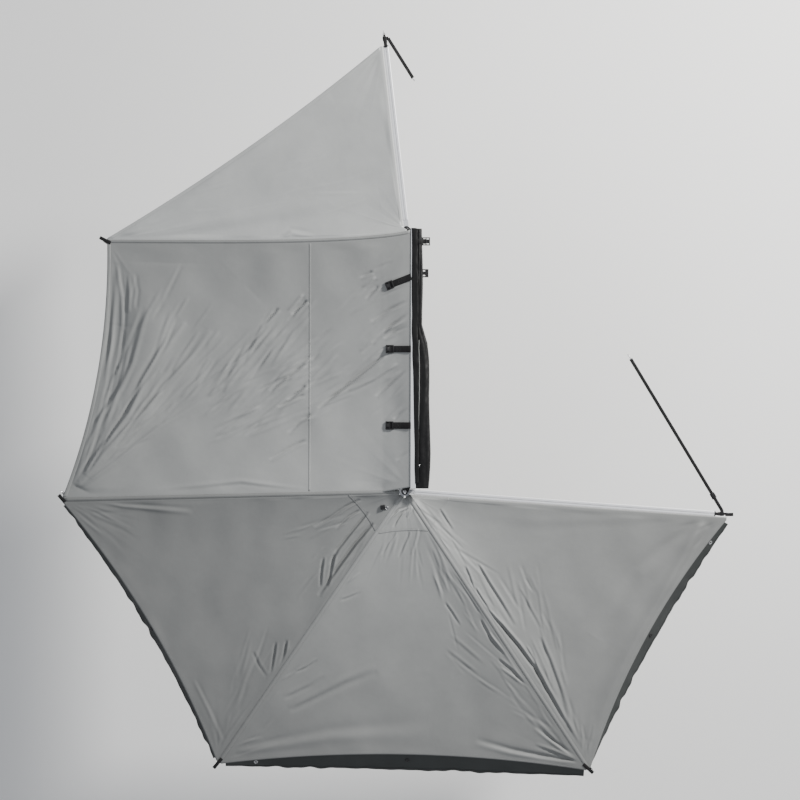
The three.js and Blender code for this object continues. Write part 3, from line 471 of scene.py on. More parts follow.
def cloth_material(name, dark, light, rough, weave, sheen=0.0, scale=3.0, kept=True):
    """Woven cloth. The weave is its threads, their depth and how crumpled the cloth is."""
    made, tree, shader = new_material(name, rough)
    place = place_on(tree, kept)
    tinted(tree, shader, dark, light, scale, CLOTH_CONTRAST, place)
    thread, depth, crumple = weave
    woven = add(tree, "ShaderNodeGroup", node_tree=WEAVE, Thread=thread, Depth=depth, Crumple=crumple)
    tree.links.new(place, woven.inputs["Place"])
    wire(tree, (woven, "Normal", shader, "Normal"))
    shader.inputs["Sheen Weight"].default_value = sheen
    shader.inputs["Specular IOR Level"].default_value = 0.3
    return made


def metal_material(name, dark, light, rough, metal, stretch=(1, 1, 1)):
    """Metal or plastic with fine uneven marks, drawn out along the axes by the stretch."""
    made, tree, shader = new_material(name, rough, metal)
    place = place_on(tree, False)
    tinted(tree, shader, dark, light, METAL_SCALE, METAL_CONTRAST, place)
    mapping = add(tree, "ShaderNodeMapping", Scale=stretch)
    tree.links.new(place, mapping.inputs["Vector"])
    noise = add(tree, "ShaderNodeTexNoise", Scale=METAL_MARKS, Detail=3.0)
    bump = add(tree, "ShaderNodeBump", Strength=MARK_STRENGTH, Distance=MARK_HIGH)
    low, high = ROUGH_SPREAD
    spread = add(tree, "ShaderNodeMapRange", To_Min=rough + low, To_Max=rough + high)
    wire(
        tree,
        (mapping, 0, noise, "Vector"),
        (noise, 0, bump, "Height"),
        (bump, 0, shader, "Normal"),
        (noise, 0, spread, "Value"),
        (spread, 0, shader, "Roughness"),
    )
    return made


CLOTH_DARK = (0.262, 0.268, 0.264)
CLOTH_LIGHT = (0.318, 0.325, 0.318)
CANOPY_ROUGH, CANOPY_WEAVE, CANOPY_SHEEN = 0.5, (700, 0.25, 0.16), 0.05
# Painted light and shade of each panel, near the hub and at the outer edge: panels that lean towards the
# key light are lighter, and those that lean away are darker.
PANEL_PAINTED_LIGHT = {
    "front": (1.53, 1.53),
    "side": (1.20, 0.82),
    "rear_left": (0.80, 0.58),
    "rear": (1.04, 0.54),
    "rear_right": (0.95, 0.62),
}
# Distances from the hub over which the painted light and shade runs from its near value to its far value.
PAINTED_LIGHT_REACH = (0.3, 2.6)


def canopy_cloth(name, near, far):
    """Canopy cloth with painted light and shade, its colour scaled from one brightness near the hub to
    another at the outer edge.
    """
    made = cloth_material(name, CLOTH_DARK, CLOTH_LIGHT, CANOPY_ROUGH, CANOPY_WEAVE, CANOPY_SHEEN)
    tree = made.node_tree
    shader = tree.nodes["Principled BSDF"]
    colour = shader.inputs["Base Color"].links[0].from_node
    # Painted light and shade: the cloth's colour is scaled by a brightness that changes with the distance
    # from the hub.
    reach = add(tree, "ShaderNodeVectorMath", operation="DISTANCE", _1=tuple(HUB))
    tree.links.new(place_on(tree, True), reach.inputs[0])
    fade = add(tree, "ShaderNodeMapRange", _1=PAINTED_LIGHT_REACH[0], _2=PAINTED_LIGHT_REACH[1], _3=near, _4=far)
    painted_light_colour = add(tree, "ShaderNodeVectorMath", operation="SCALE")
    wire(
        tree,
        (reach, "Value", fade, 0),
        (colour, 2, painted_light_colour, 0),
        (fade, 0, painted_light_colour, "Scale"),
        (painted_light_colour, "Vector", shader, "Base Color"),
    )
    return made


CANOPY = {place: canopy_cloth("canopy_cloth_" + place, *painted_light_pair) for place, painted_light_pair in PANEL_PAINTED_LIGHT.items()}
# Each seam tape takes the cloth of one panel beside it, with that panel's painted light and shade.
SEAM_PAINTED_LIGHT = {"c": "rear_left", "d": "rear", "e": "rear_right"}
VALANCE = cloth_material(
    "valance_cloth", (0.027, 0.030, 0.029), (0.045, 0.049, 0.048), 0.6, (700, 0.3, 0.3), 0.02
)
BAG = cloth_material(
    "bag_cloth", (0.002, 0.002, 0.0025), (0.006, 0.006, 0.0065), 0.5, (420, 0.4, 0.5), 0.02
)
WEBBING = cloth_material(
    "webbing", (0.003, 0.003, 0.0035), (0.008, 0.008, 0.009), 0.75, (900, 0.8, 0.1), 0.1, 20.0
)
THREAD_WEAVE = (1500, 0.4, 0.0)
THREAD = cloth_material("thread", (0.22, 0.225, 0.22), (0.3, 0.3, 0.295), 0.7, THREAD_WEAVE, kept=False)
BLACK_THREAD = cloth_material(
    "black_thread", (0.03, 0.03, 0.03), (0.06, 0.06, 0.06), 0.7, THREAD_WEAVE, kept=False
)
ALUMINIUM = metal_material("aluminium", (0.80, 0.81, 0.83), (0.92, 0.93, 0.95), 0.36, 0.35, (1, 1, 12))
CAST = metal_material("cast_aluminium", (0.56, 0.57, 0.59), (0.68, 0.69, 0.71), 0.5, 0.4)
STEEL = metal_material("bright_steel", (0.5, 0.5, 0.51), (0.66, 0.66, 0.67), 0.28, 1.0)
BLACK_STEEL = metal_material("black_steel", (0.012, 0.012, 0.013), (0.024, 0.024, 0.026), 0.48, 0.3)
PLASTIC = metal_material("black_plastic", (0.004, 0.004, 0.0045), (0.011, 0.011, 0.012), 0.5, 0.0)
print("materials:", len(bpy.data.materials))


def dress(piece, material, slot, body=None, replaced=()):
    """Gives a new piece its material, the body it rides on and the nodes it replaces; the record slot is
    not used.
    """
    co = np.empty(len(piece.data.vertices) * 3, np.float32)
    piece.data.vertices.foreach_get("co", co)
    piece.data.attributes.new("rest_place", "FLOAT_VECTOR", "POINT").data.foreach_set("vector", co)
    piece.data.materials.clear()
    piece.data.materials.append(material)
    if body:
        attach(piece, body)
    if replaced:
        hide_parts(*replaced)
    return piece


# %% [markdown]
# ## Tie straps
# Two webbing straps hold the open awning to the vehicle. The rear one runs from corner F and has a cam
# buckle near the corner; the short front one runs from corner A. Each loops round its tip bracket and
# ends in a wire hook. Their routes are those of the CAD part.

# %% Tie straps
TIE_WIDTH = 0.025
TIE_THICK = 0.0024
TIE_BAND_START = 0.016
TIP_HALF_WIDTH = 0.014 - GAP
TIP_HALF_HEIGHT = 0.0045 + GAP + 0.0055 + GAP
TIE_TAB = 0.014
TIE_BUCKLE_AT = 0.105
TIE_BUCKLE_LENGTH = 0.046
TIE_BUCKLE_WIDTH = 0.036
TIE_BUCKLE_THICK = 0.015
TIE_BUCKLE_PLATE, TIE_BUCKLE_WALL_IN = 0.0022, 0.0012
ROLLER_X, ROLLER_Z, ROLLER = -0.012, 0.0048, 0.0026
REAR_TIE_END = Vector((1.533, 0.018, -0.062))
FRONT_TIE_END = Vector((-0.070, 2.110, -0.322))
HOOK_RADIUS = 0.015
HOOK_WIRE = 0.002944
HOOK_BACK, HOOK_SHANK = 0.006, 0.022
HOOK_TURN = (90, -117)
BAND_CORNER = 0.004
TAB_SEWN_THICK, TAB_SEWN_GAP, TAB_SEWN_BEVEL = 0.0075, 0.0008, 0.0012
TAB_BARS, TAB_BAR = (0.4, 0.8), (TIE_WIDTH * 0.8, 0.0016, TAB_SEWN_THICK + 0.0007)
TIE_MIDDLE = TIE_BAND_START + TIE_WIDTH / 2


def shifted(x, y, z):
    return Matrix.Translation((x, y, z))


def strap_frame(start, along, across=None):
    """A frame with X along a strap and Y across it, or level across it if no way across is given."""
    along = Vector(along).normalized()
    up = along.cross(Vector(across or (-along.y, along.x, 0))).normalized()
    side = up.cross(along)
    return Matrix.Translation(start) @ Matrix((along, side, up)).transposed().to_4x4()


def tie_loop(name, place, side):
    """The band round the tip bracket with its sewn tab."""
    half_y = TIP_HALF_WIDTH + TIE_THICK / 2
    half_z = TIP_HALF_HEIGHT + TIE_THICK / 2
    line = []
    for sy, sz, start in ((1, 1, 0), (-1, 1, 90), (-1, -1, 180), (1, -1, 270)):
        for turn in np.radians(np.linspace(start, start + 90, 5)):
            y = sy * (half_y - BAND_CORNER) + BAND_CORNER * math.cos(turn)
            z = sz * (half_z - BAND_CORNER) + BAND_CORNER * math.sin(turn)
            line.append((TIE_MIDDLE, y, z))
    centre = np.array(line)
    out = centre - np.array([TIE_MIDDLE, 0, 0])
    out /= np.linalg.norm(out, axis=1, keepdims=True)
    vertices = []
    for x in (-TIE_WIDTH / 2, TIE_WIDTH / 2):
        for lift in (-TIE_THICK / 2, TIE_THICK / 2):
            vertices.append(centre + out * lift + np.array([x, 0, 0]))
    count = len(line)
    faces = []
    for i in range(count):
        j = (i + 1) % count
        for a, b in ((0, 1), (3, 2), (2, 0), (1, 3)):
            faces.append((i + a * count, j + a * count, j + b * count, i + b * count))
    band = link(name, np.concatenate(vertices), faces, smooth=False)
    turn_outwards(band)
    across = side * TIP_HALF_WIDTH
    tab_at = shifted(TIE_MIDDLE, across + side * (TIE_TAB / 2 + TAB_SEWN_GAP), 0)
    tab = box_mesh(name + "_tab", (TIE_WIDTH, TIE_TAB, TAB_SEWN_THICK), tab_at, TAB_SEWN_BEVEL)
    for share in TAB_BARS:
        bar = box_mesh(name + "_bar", TAB_BAR, shifted(TIE_MIDDLE, across + side * TIE_TAB * share, 0))
        tab = joined(tab.name, [tab, bar])
    band = joined(name, [band, tab])
    band.data.transform(place)
    return band


def tie_hook(name, start, end):
    """A wire hook at the strap's far end: a shank, then a round turn below it."""
    points = [Vector((x, 0, 0)) for x in (-HOOK_BACK, HOOK_SHANK / 2, HOOK_SHANK * 0.8)]
    for turn in np.radians(np.linspace(*HOOK_TURN, 22)):
        out, up = math.cos(turn), math.sin(turn) - 1
        points.append(Vector((HOOK_SHANK + HOOK_RADIUS * out, 0, HOOK_RADIUS * up)))
    place = strap_frame(start, end - start)
    place.translation = end
    return round_mesh(name, [place @ p for p in points], HOOK_WIRE)


def cam_buckle(name, start, end):
    """A pressed cam buckle: a base with side walls, a roller bar and a hinged lever."""
    length, width, thick = TIE_BUCKLE_LENGTH, TIE_BUCKLE_WIDTH, TIE_BUCKLE_THICK
    plate, inside = TIE_BUCKLE_PLATE, width / 2 - TIE_BUCKLE_WALL_IN
    wall = (length * 0.8, plate, thick * 0.8)
    # The part, size, middle and bevel of each box.
    boxes = [
        ("base", (length, width, plate), (0, 0, -0.0042), 0.0006),
        ("wall", wall, (0, -inside, 0), 0.0006),
        ("wall", wall, (0, inside, 0), 0.0006),
        ("lever", (length * 0.62, width * 0.66, 0.004), (length * 0.08, 0, 0.0062), 0.0012),
        ("thumb", (0.006, width * 0.66, 0.0062), (length * 0.34, 0, 0.0066), 0.0015),
    ]
    parts = [box_mesh(part, size, shifted(*middle), bevel) for part, size, middle, bevel in boxes]
    roller = [(ROLLER_X, y * width / 2, ROLLER_Z) for y in (-1, 0, 1)]
    buckle = joined(name, parts + [round_mesh("bar", roller, ROLLER)])
    buckle.data.transform(strap_frame(start, end - start) @ shifted(TIE_BUCKLE_AT + length / 2, 0, 0))
    return buckle


def tie_strap(name, letter, side, end, buckle_name=None):
    arm, body = ARMS[letter], "arm_" + letter
    place = arm.tip_frame()
    start = place @ Vector((TIE_MIDDLE, side * (TIP_HALF_WIDTH + TIE_TAB - TIE_THICK), 0))
    points = [start.lerp(end, share) for share in np.linspace(0, 1, 24)]
    across = strap_frame(start, end - start).col[1].to_3d()
    strap = webbing_mesh(name, points, across, TIE_WIDTH, TIE_THICK)
    loop = tie_loop(name + "_loop", place, side)
    hook = tie_hook(name + "_wire_hook", start, end)
    dress(strap, WEBBING, "webbing", body, [name])
    dress(loop, WEBBING, "webbing", body)
    dress(hook, STEEL, "bright_steel", body, [name.replace("strap", "hook")])
    fittings = [hook]
    if buckle_name:
        buckle = cam_buckle(buckle_name, start, end)
        fittings.append(dress(buckle, PLASTIC, "black_plastic", body, ["rear_tie_buckle"]))
    length = sum((b - a).length for a, b in zip(points, points[1:]))
    for piece in [strap] + fittings:
        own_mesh(piece)
    print(strap.name, "length", round(length, 3))


tie_strap("rear_tie_strap", "f", 1, REAR_TIE_END, "rear_tie_cam_buckle")
tie_strap("front_tie_strap", "a", -1, FRONT_TIE_END)

# %% [markdown]
# ## Cloth edges
# Each canopy panel fills the space between two seam lines, which run over the arms, and a bowed outer
# edge. The seam between the side panel and the front wing has no arm, and runs from the rail to corner B.

# %% Panel edges and surfaces
CLOTH_TOP = LIFT + CLOTH
CLOTH_RAIL_Z = 0.044
RAIL_CORNER_REAR = np.array([RAIL_OUTER - GAP, RAIL_REAR + RAIL_CORNER_INSET, CLOTH_RAIL_Z])
RAIL_CORNER_FRONT = np.array([RAIL_OUTER - GAP, RAIL_FRONT - 0.018, CLOTH_RAIL_Z])
SEAM_DIP = 0.045
SEAM_DIP_SHARE = 0.6
SEAM_START = 0.014
CORNER_B = ARMS["b"].over(ARMS["b"].tip, 0, CLOTH_TOP)


def between(p, q, share):
    """Points on the way from p to q."""
    share = np.asarray(share, float)[..., None]
    return p * (1 - share) + q * share


def bow(share):
    """0 at both ends and 1 in the middle."""
    return 4 * share * (1 - share)


def arm_edge(letter, side):
    """A seam line over an arm, from the hub to the tip."""
    arm = ARMS[letter]
    return lambda share: arm.over(HUB_CUT + np.asarray(share) * (arm.tip - HUB_CUT), side, CLOTH_TOP)


def side_edge(side):
    """Along arm C's front side; it first runs from the rail's rear corner to the arm."""
    along_c = arm_edge("c", side)
    corner = RAIL_CORNER_REAR - np.array([0, side, 0])

    def edge(share):
        share = np.asarray(share, float)
        first = between(corner, along_c(KINK / 2), np.minimum(share / KINK, 1))
        later = along_c(KINK / 2 + np.maximum(share - KINK, 0) * (1 - KINK / 2) / (1 - KINK))
        return np.where((share < KINK)[..., None], first, later)

    return edge


def seam_b(side):
    """The seam without an arm, which dips a little on its way to corner B."""

    def edge(share):
        share = np.asarray(share, float)
        point = between(RAIL_CORNER_FRONT, CORNER_B, share)
        point[..., 1] += side - SEAM_DIP * np.sin(math.pi * share**SEAM_DIP_SHARE)
        return point

    return edge


def front_edge(side):
    """The front wing's edge beside arm A."""
    arm = ARMS["a"]
    return lambda share: arm.over(FRONT_CUT + np.asarray(share) * (arm.tip - FRONT_CUT), side, -LIFT)


def from_front(line):
    """A line without its first short stretch."""
    return lambda share: line(SEAM_START + np.asarray(share) * (1 - SEAM_START))


def outer_edge(start, end, towards, depth):
    """A line between two corners that bows in towards a point."""
    middle = (start + end) / 2
    pull = np.array([towards[0] - middle[0], towards[1] - middle[1], 0])
    pull /= np.linalg.norm(pull)

    def edge(share):
        return between(start, end, share) + pull * (depth * bow(np.asarray(share, float)))[..., None]

    return edge


def filled(inner, outer, first, second):
    """A surface between four edges, as a function of shares across and out."""
    a, b, c, d = first(0.0), second(0.0), first(1.0), second(1.0)

    def surface(u, v):
        point = between(inner(u), outer(u), v) + between(first(v), second(v), u)
        return point - between(between(a, b, u), between(c, d, u), v)

    return surface


print("corner B at", CORNER_B.round(3))

# %% [markdown]
# ## Folds
# The cloth is held at its corners and along its arms, so folds fan out from the corners and die away,
# and long creases lie where it was packed. A crease is a ridge or valley along a line of a few points.
# Fans, dashes and ripples are drawn by seeded chance, the same on each run. All fade out at the seams.

# %% Fold relief
PIXEL, MM = 0.0073, 0.001
PHOTO_HUB = (405, 492)
CREASE_START, CREASE_END = 0.15, 0.4
CREASE_VALLEY = (0.6, 1.5)
DASH_VALLEY = (0.5, 1.4)
DASH_TURN = 7
DASH_HALF, DASH_WIDE, DASH_SIZE = (0.05, 0.17), (0.009, 0.014), (0.35, 1)
RAY_WIDE, RAY_FAR, RAY_BEND, RAY_HELD = (0.16, 0.42), (0.5, 1.25), (-2.0, 2.0), 0.16
RAY_OFF, RAY_SIZE, RAY_VALLEY, RAY_FALL = (-0.35, 0.35), (0.45, 1.0), -0.8, (1.4, 1.7)
RIPPLE_WAVES, RIPPLE_SPREAD, RIPPLE_LEAN = 7, (0.6, 1.7), (0.3, 0.9)


def at_pixel(x, y):
    """A place in the plan from a place in the 800 pixel photograph."""
    return (HUB[0] + (x - PHOTO_HUB[0]) * PIXEL, HUB[1] + (PHOTO_HUB[1] - y) * PIXEL)


def ridge(t, depth, aside):
    """A ridge with a shallower valley beside it."""
    return np.exp(-(t**2)) - depth * np.exp(-((t - aside) ** 2))


def crease_relief(x, y, wide_first, wide_last, height, *line):
    """A ridge beside a shallower valley along a line of photograph points, fading at its ends."""
    points = np.array([at_pixel(*p) for p in line])
    best = np.full(x.shape, 1e9)
    across = np.zeros(x.shape)
    share = np.zeros(x.shape)
    lengths = np.linalg.norm(np.diff(points, axis=0), axis=1)
    total = lengths.sum()
    run = 0.0
    for a, b, length in zip(points, points[1:], lengths):
        d = (b - a) / length
        t = np.clip((x - a[0]) * d[0] + (y - a[1]) * d[1], 0, length)
        distance = np.hypot(x - a[0] - t * d[0], y - a[1] - t * d[1])
        side = np.sign((x - a[0]) * -d[1] + (y - a[1]) * d[0])
        nearer = distance < best
        best = np.where(nearer, distance, best)
        across = np.where(nearer, distance * side, across)
        share = np.where(nearer, (run + t) / total, share)
        run += length
    wide = MM * (wide_first + (wide_last - wide_first) * share)
    fade = np.clip(share / CREASE_START, 0, 1) * np.clip((1 - share) / CREASE_END, 0, 1)
    return MM * height * np.sqrt(fade) * ridge(across / wide, *CREASE_VALLEY)


def fan_relief(x, y, corner, start, end, count, reach, height, seed):
    """Ridges and valleys that fan out of a corner between two directions in degrees."""
    draw = np.random.default_rng(seed)
    distance = np.hypot(x - corner[0], y - corner[1])
    angle = np.degrees(np.arctan2(y - corner[1], x - corner[0]))
    middle = (start + end) / 2
    angle = middle + (angle - middle + 180) % 360 - 180
    relief = np.zeros(x.shape)
    for i in range(count):
        ray = start + (end - start) * (i + 0.5 + draw.uniform(*RAY_OFF)) / count
        wide = (end - start) / count * draw.uniform(*RAY_WIDE)
        size = height * draw.uniform(*RAY_SIZE) * (1 if i % 2 else RAY_VALLEY)
        far = reach * draw.uniform(*RAY_FAR)
        bend = draw.uniform(*RAY_BEND)
        t = (angle - ray - bend * distance / reach) / wide
        near = np.clip(distance / (RAY_HELD * reach), 0, 1)
        fall = np.exp(-np.abs(t) ** RAY_FALL[0]) * near * np.exp(-((distance / far) ** RAY_FALL[1]))
        relief += size * fall
    return relief


def dash_relief(x, y, corner, start, end, near, far, count, height, seed, lean=0):
    """Many short thin creases near the rays from a corner, between two directions and reaches."""
    draw = np.random.default_rng(seed)
    relief = np.zeros(x.shape)
    for _ in range(count):
        ray = math.radians(draw.uniform(start, end))
        reach = draw.uniform(near, far)
        turned = ray + math.radians(draw.normal(lean, DASH_TURN))
        c, d = math.cos(turned), math.sin(turned)
        dx, dy = x - corner[0] - reach * math.cos(ray), y - corner[1] - reach * math.sin(ray)
        along, across = dx * c + dy * d, dy * c - dx * d
        half, wide = draw.uniform(*DASH_HALF), draw.uniform(*DASH_WIDE)
        size = height * draw.uniform(*DASH_SIZE) * draw.choice((-1, 1))
        relief += size * ridge(across / wide, *DASH_VALLEY) * np.exp(-((along / half) ** 4))
    return relief


def ripple_relief(x, y, seed, height, wave):
    """Slow unevenness from a few crossing waves."""
    draw = np.random.default_rng(seed)
    relief = np.zeros(x.shape)
    for _ in range(RIPPLE_WAVES):
        direction = draw.uniform(0, math.pi)
        scale = 2 * math.pi / (wave * draw.uniform(*RIPPLE_SPREAD))
        phase = draw.uniform(0, 2 * math.pi)
        lean = draw.uniform(*RIPPLE_LEAN)
        s = x * math.cos(direction) + y * math.sin(direction)
        c = -x * math.sin(direction) + y * math.cos(direction)
        relief += np.sin(scale * s + phase + lean * np.sin(scale * 0.5 * c))
    return height * relief / 3


print("fold functions ready")

# %% [markdown]
# ## Canopy panels
# Five panels. The columns next to a seam are flat where the cloth crosses an arm; between them the
# panel sags a little and carries its folds.

# %% Canopy panels
PANEL_COLUMNS = 220
PANEL_ROWS = 205
SEAM_SHARES = (0.0, 0.5)
EDGE_FADE = (7, 14, 30)
EDGE_KEPT = 0.25
HEM_BOW = {"front": 0.055, "side": 0.095, "rear_left": 0.092, "rear": 0.092, "rear_right": 0.102}


class Panel:
    """A panel between two pairs of lines, each a seam and the start of the free cloth beside it."""

    def __init__(self, place, first, second):
        self.place = place
        self.first = first
        self.second = second
        towards, self.sag = (FRONT, FRONT_SAG) if place == "front" else (HUB, PANEL_SAG)
        self.outer = outer_edge(first[1](1.0), second[1](1.0), towards, HEM_BOW[place])
        self.inner = lambda share: between(first[1](0.0), second[1](0.0), share)
        self.base = filled(self.inner, self.outer, first[1], second[1])
        self.whole = None

    def middle(self, u, v):
        """Points of the free cloth at shares across and out, with its sag and relief."""
        point = self.base(u, v)
        sides, inside, outside = EDGE_FADE
        edge = np.clip(bow(u) * sides, 0, 1) * np.clip(v * inside, 0, 1)
        edge *= np.clip((1 - v) * outside, EDGE_KEPT, 1)
        edge = edge * edge * (3 - 2 * edge)
        point[..., 2] -= self.sag * np.clip(bow(u) * bow(v), 0, 1)
        point[..., 2] += edge * relief_of(self.place, point[..., 0], point[..., 1])
        return point

    def full(self):
        """The panel's whole grid, made once, with the narrow columns beside its seams."""
        if self.whole is None:
            v = np.linspace(0, 1, PANEL_ROWS + 1)
            uu, vv = np.meshgrid(np.linspace(0, 1, PANEL_COLUMNS + 1), v)
            columns = [self.middle(uu, vv)]
            for pair, shares in ((self.first, SEAM_SHARES), (self.second, SEAM_SHARES[::-1])):
                beside = [between(pair[0](v), pair[1](v), np.full(v.shape, s)) for s in shares]
                columns.append(np.stack(beside, 1))
            self.whole = np.concatenate([columns[1], columns[0], columns[2]], 1)
        return self.whole

    def height_at(self, x, y):
        """The panel's height over a place in the plan, from the nearest points of its grid."""
        points = self.full().reshape(-1, 3)
        distance = np.hypot(points[:, 0] - x, points[:, 1] - y)
        near = np.argpartition(distance, 4)[:4]
        weight = 1 / (distance[near] + 1e-4)
        return float((points[near, 2] * weight).sum() / weight.sum())


def tip_corner(letter, side=0.0, lift=CLOTH_TOP):
    return ARMS[letter].over(ARMS[letter].tip, side, lift)


CORNER_A = tip_corner("a", BESIDE_ARM, -LIFT)
CORNER_C = tip_corner("c")
CORNER_D = tip_corner("d")
CORNER_E = tip_corner("e")
CORNER_F = tip_corner("f", -BESIDE_ARM)

print("corners:", np.round([CORNER_A, CORNER_B, CORNER_C, CORNER_D, CORNER_E, CORNER_F], 3).tolist())

# %% [markdown]
# ## Creases seen in the photograph
# Each crease has its width at both ends and its height in millimetres, negative for a valley, and then
# its line in photograph pixels. Fans have a corner, two directions, a count, a reach, a height and a
# seed. Dashes have two reaches before their count, and some lean away from the ray.

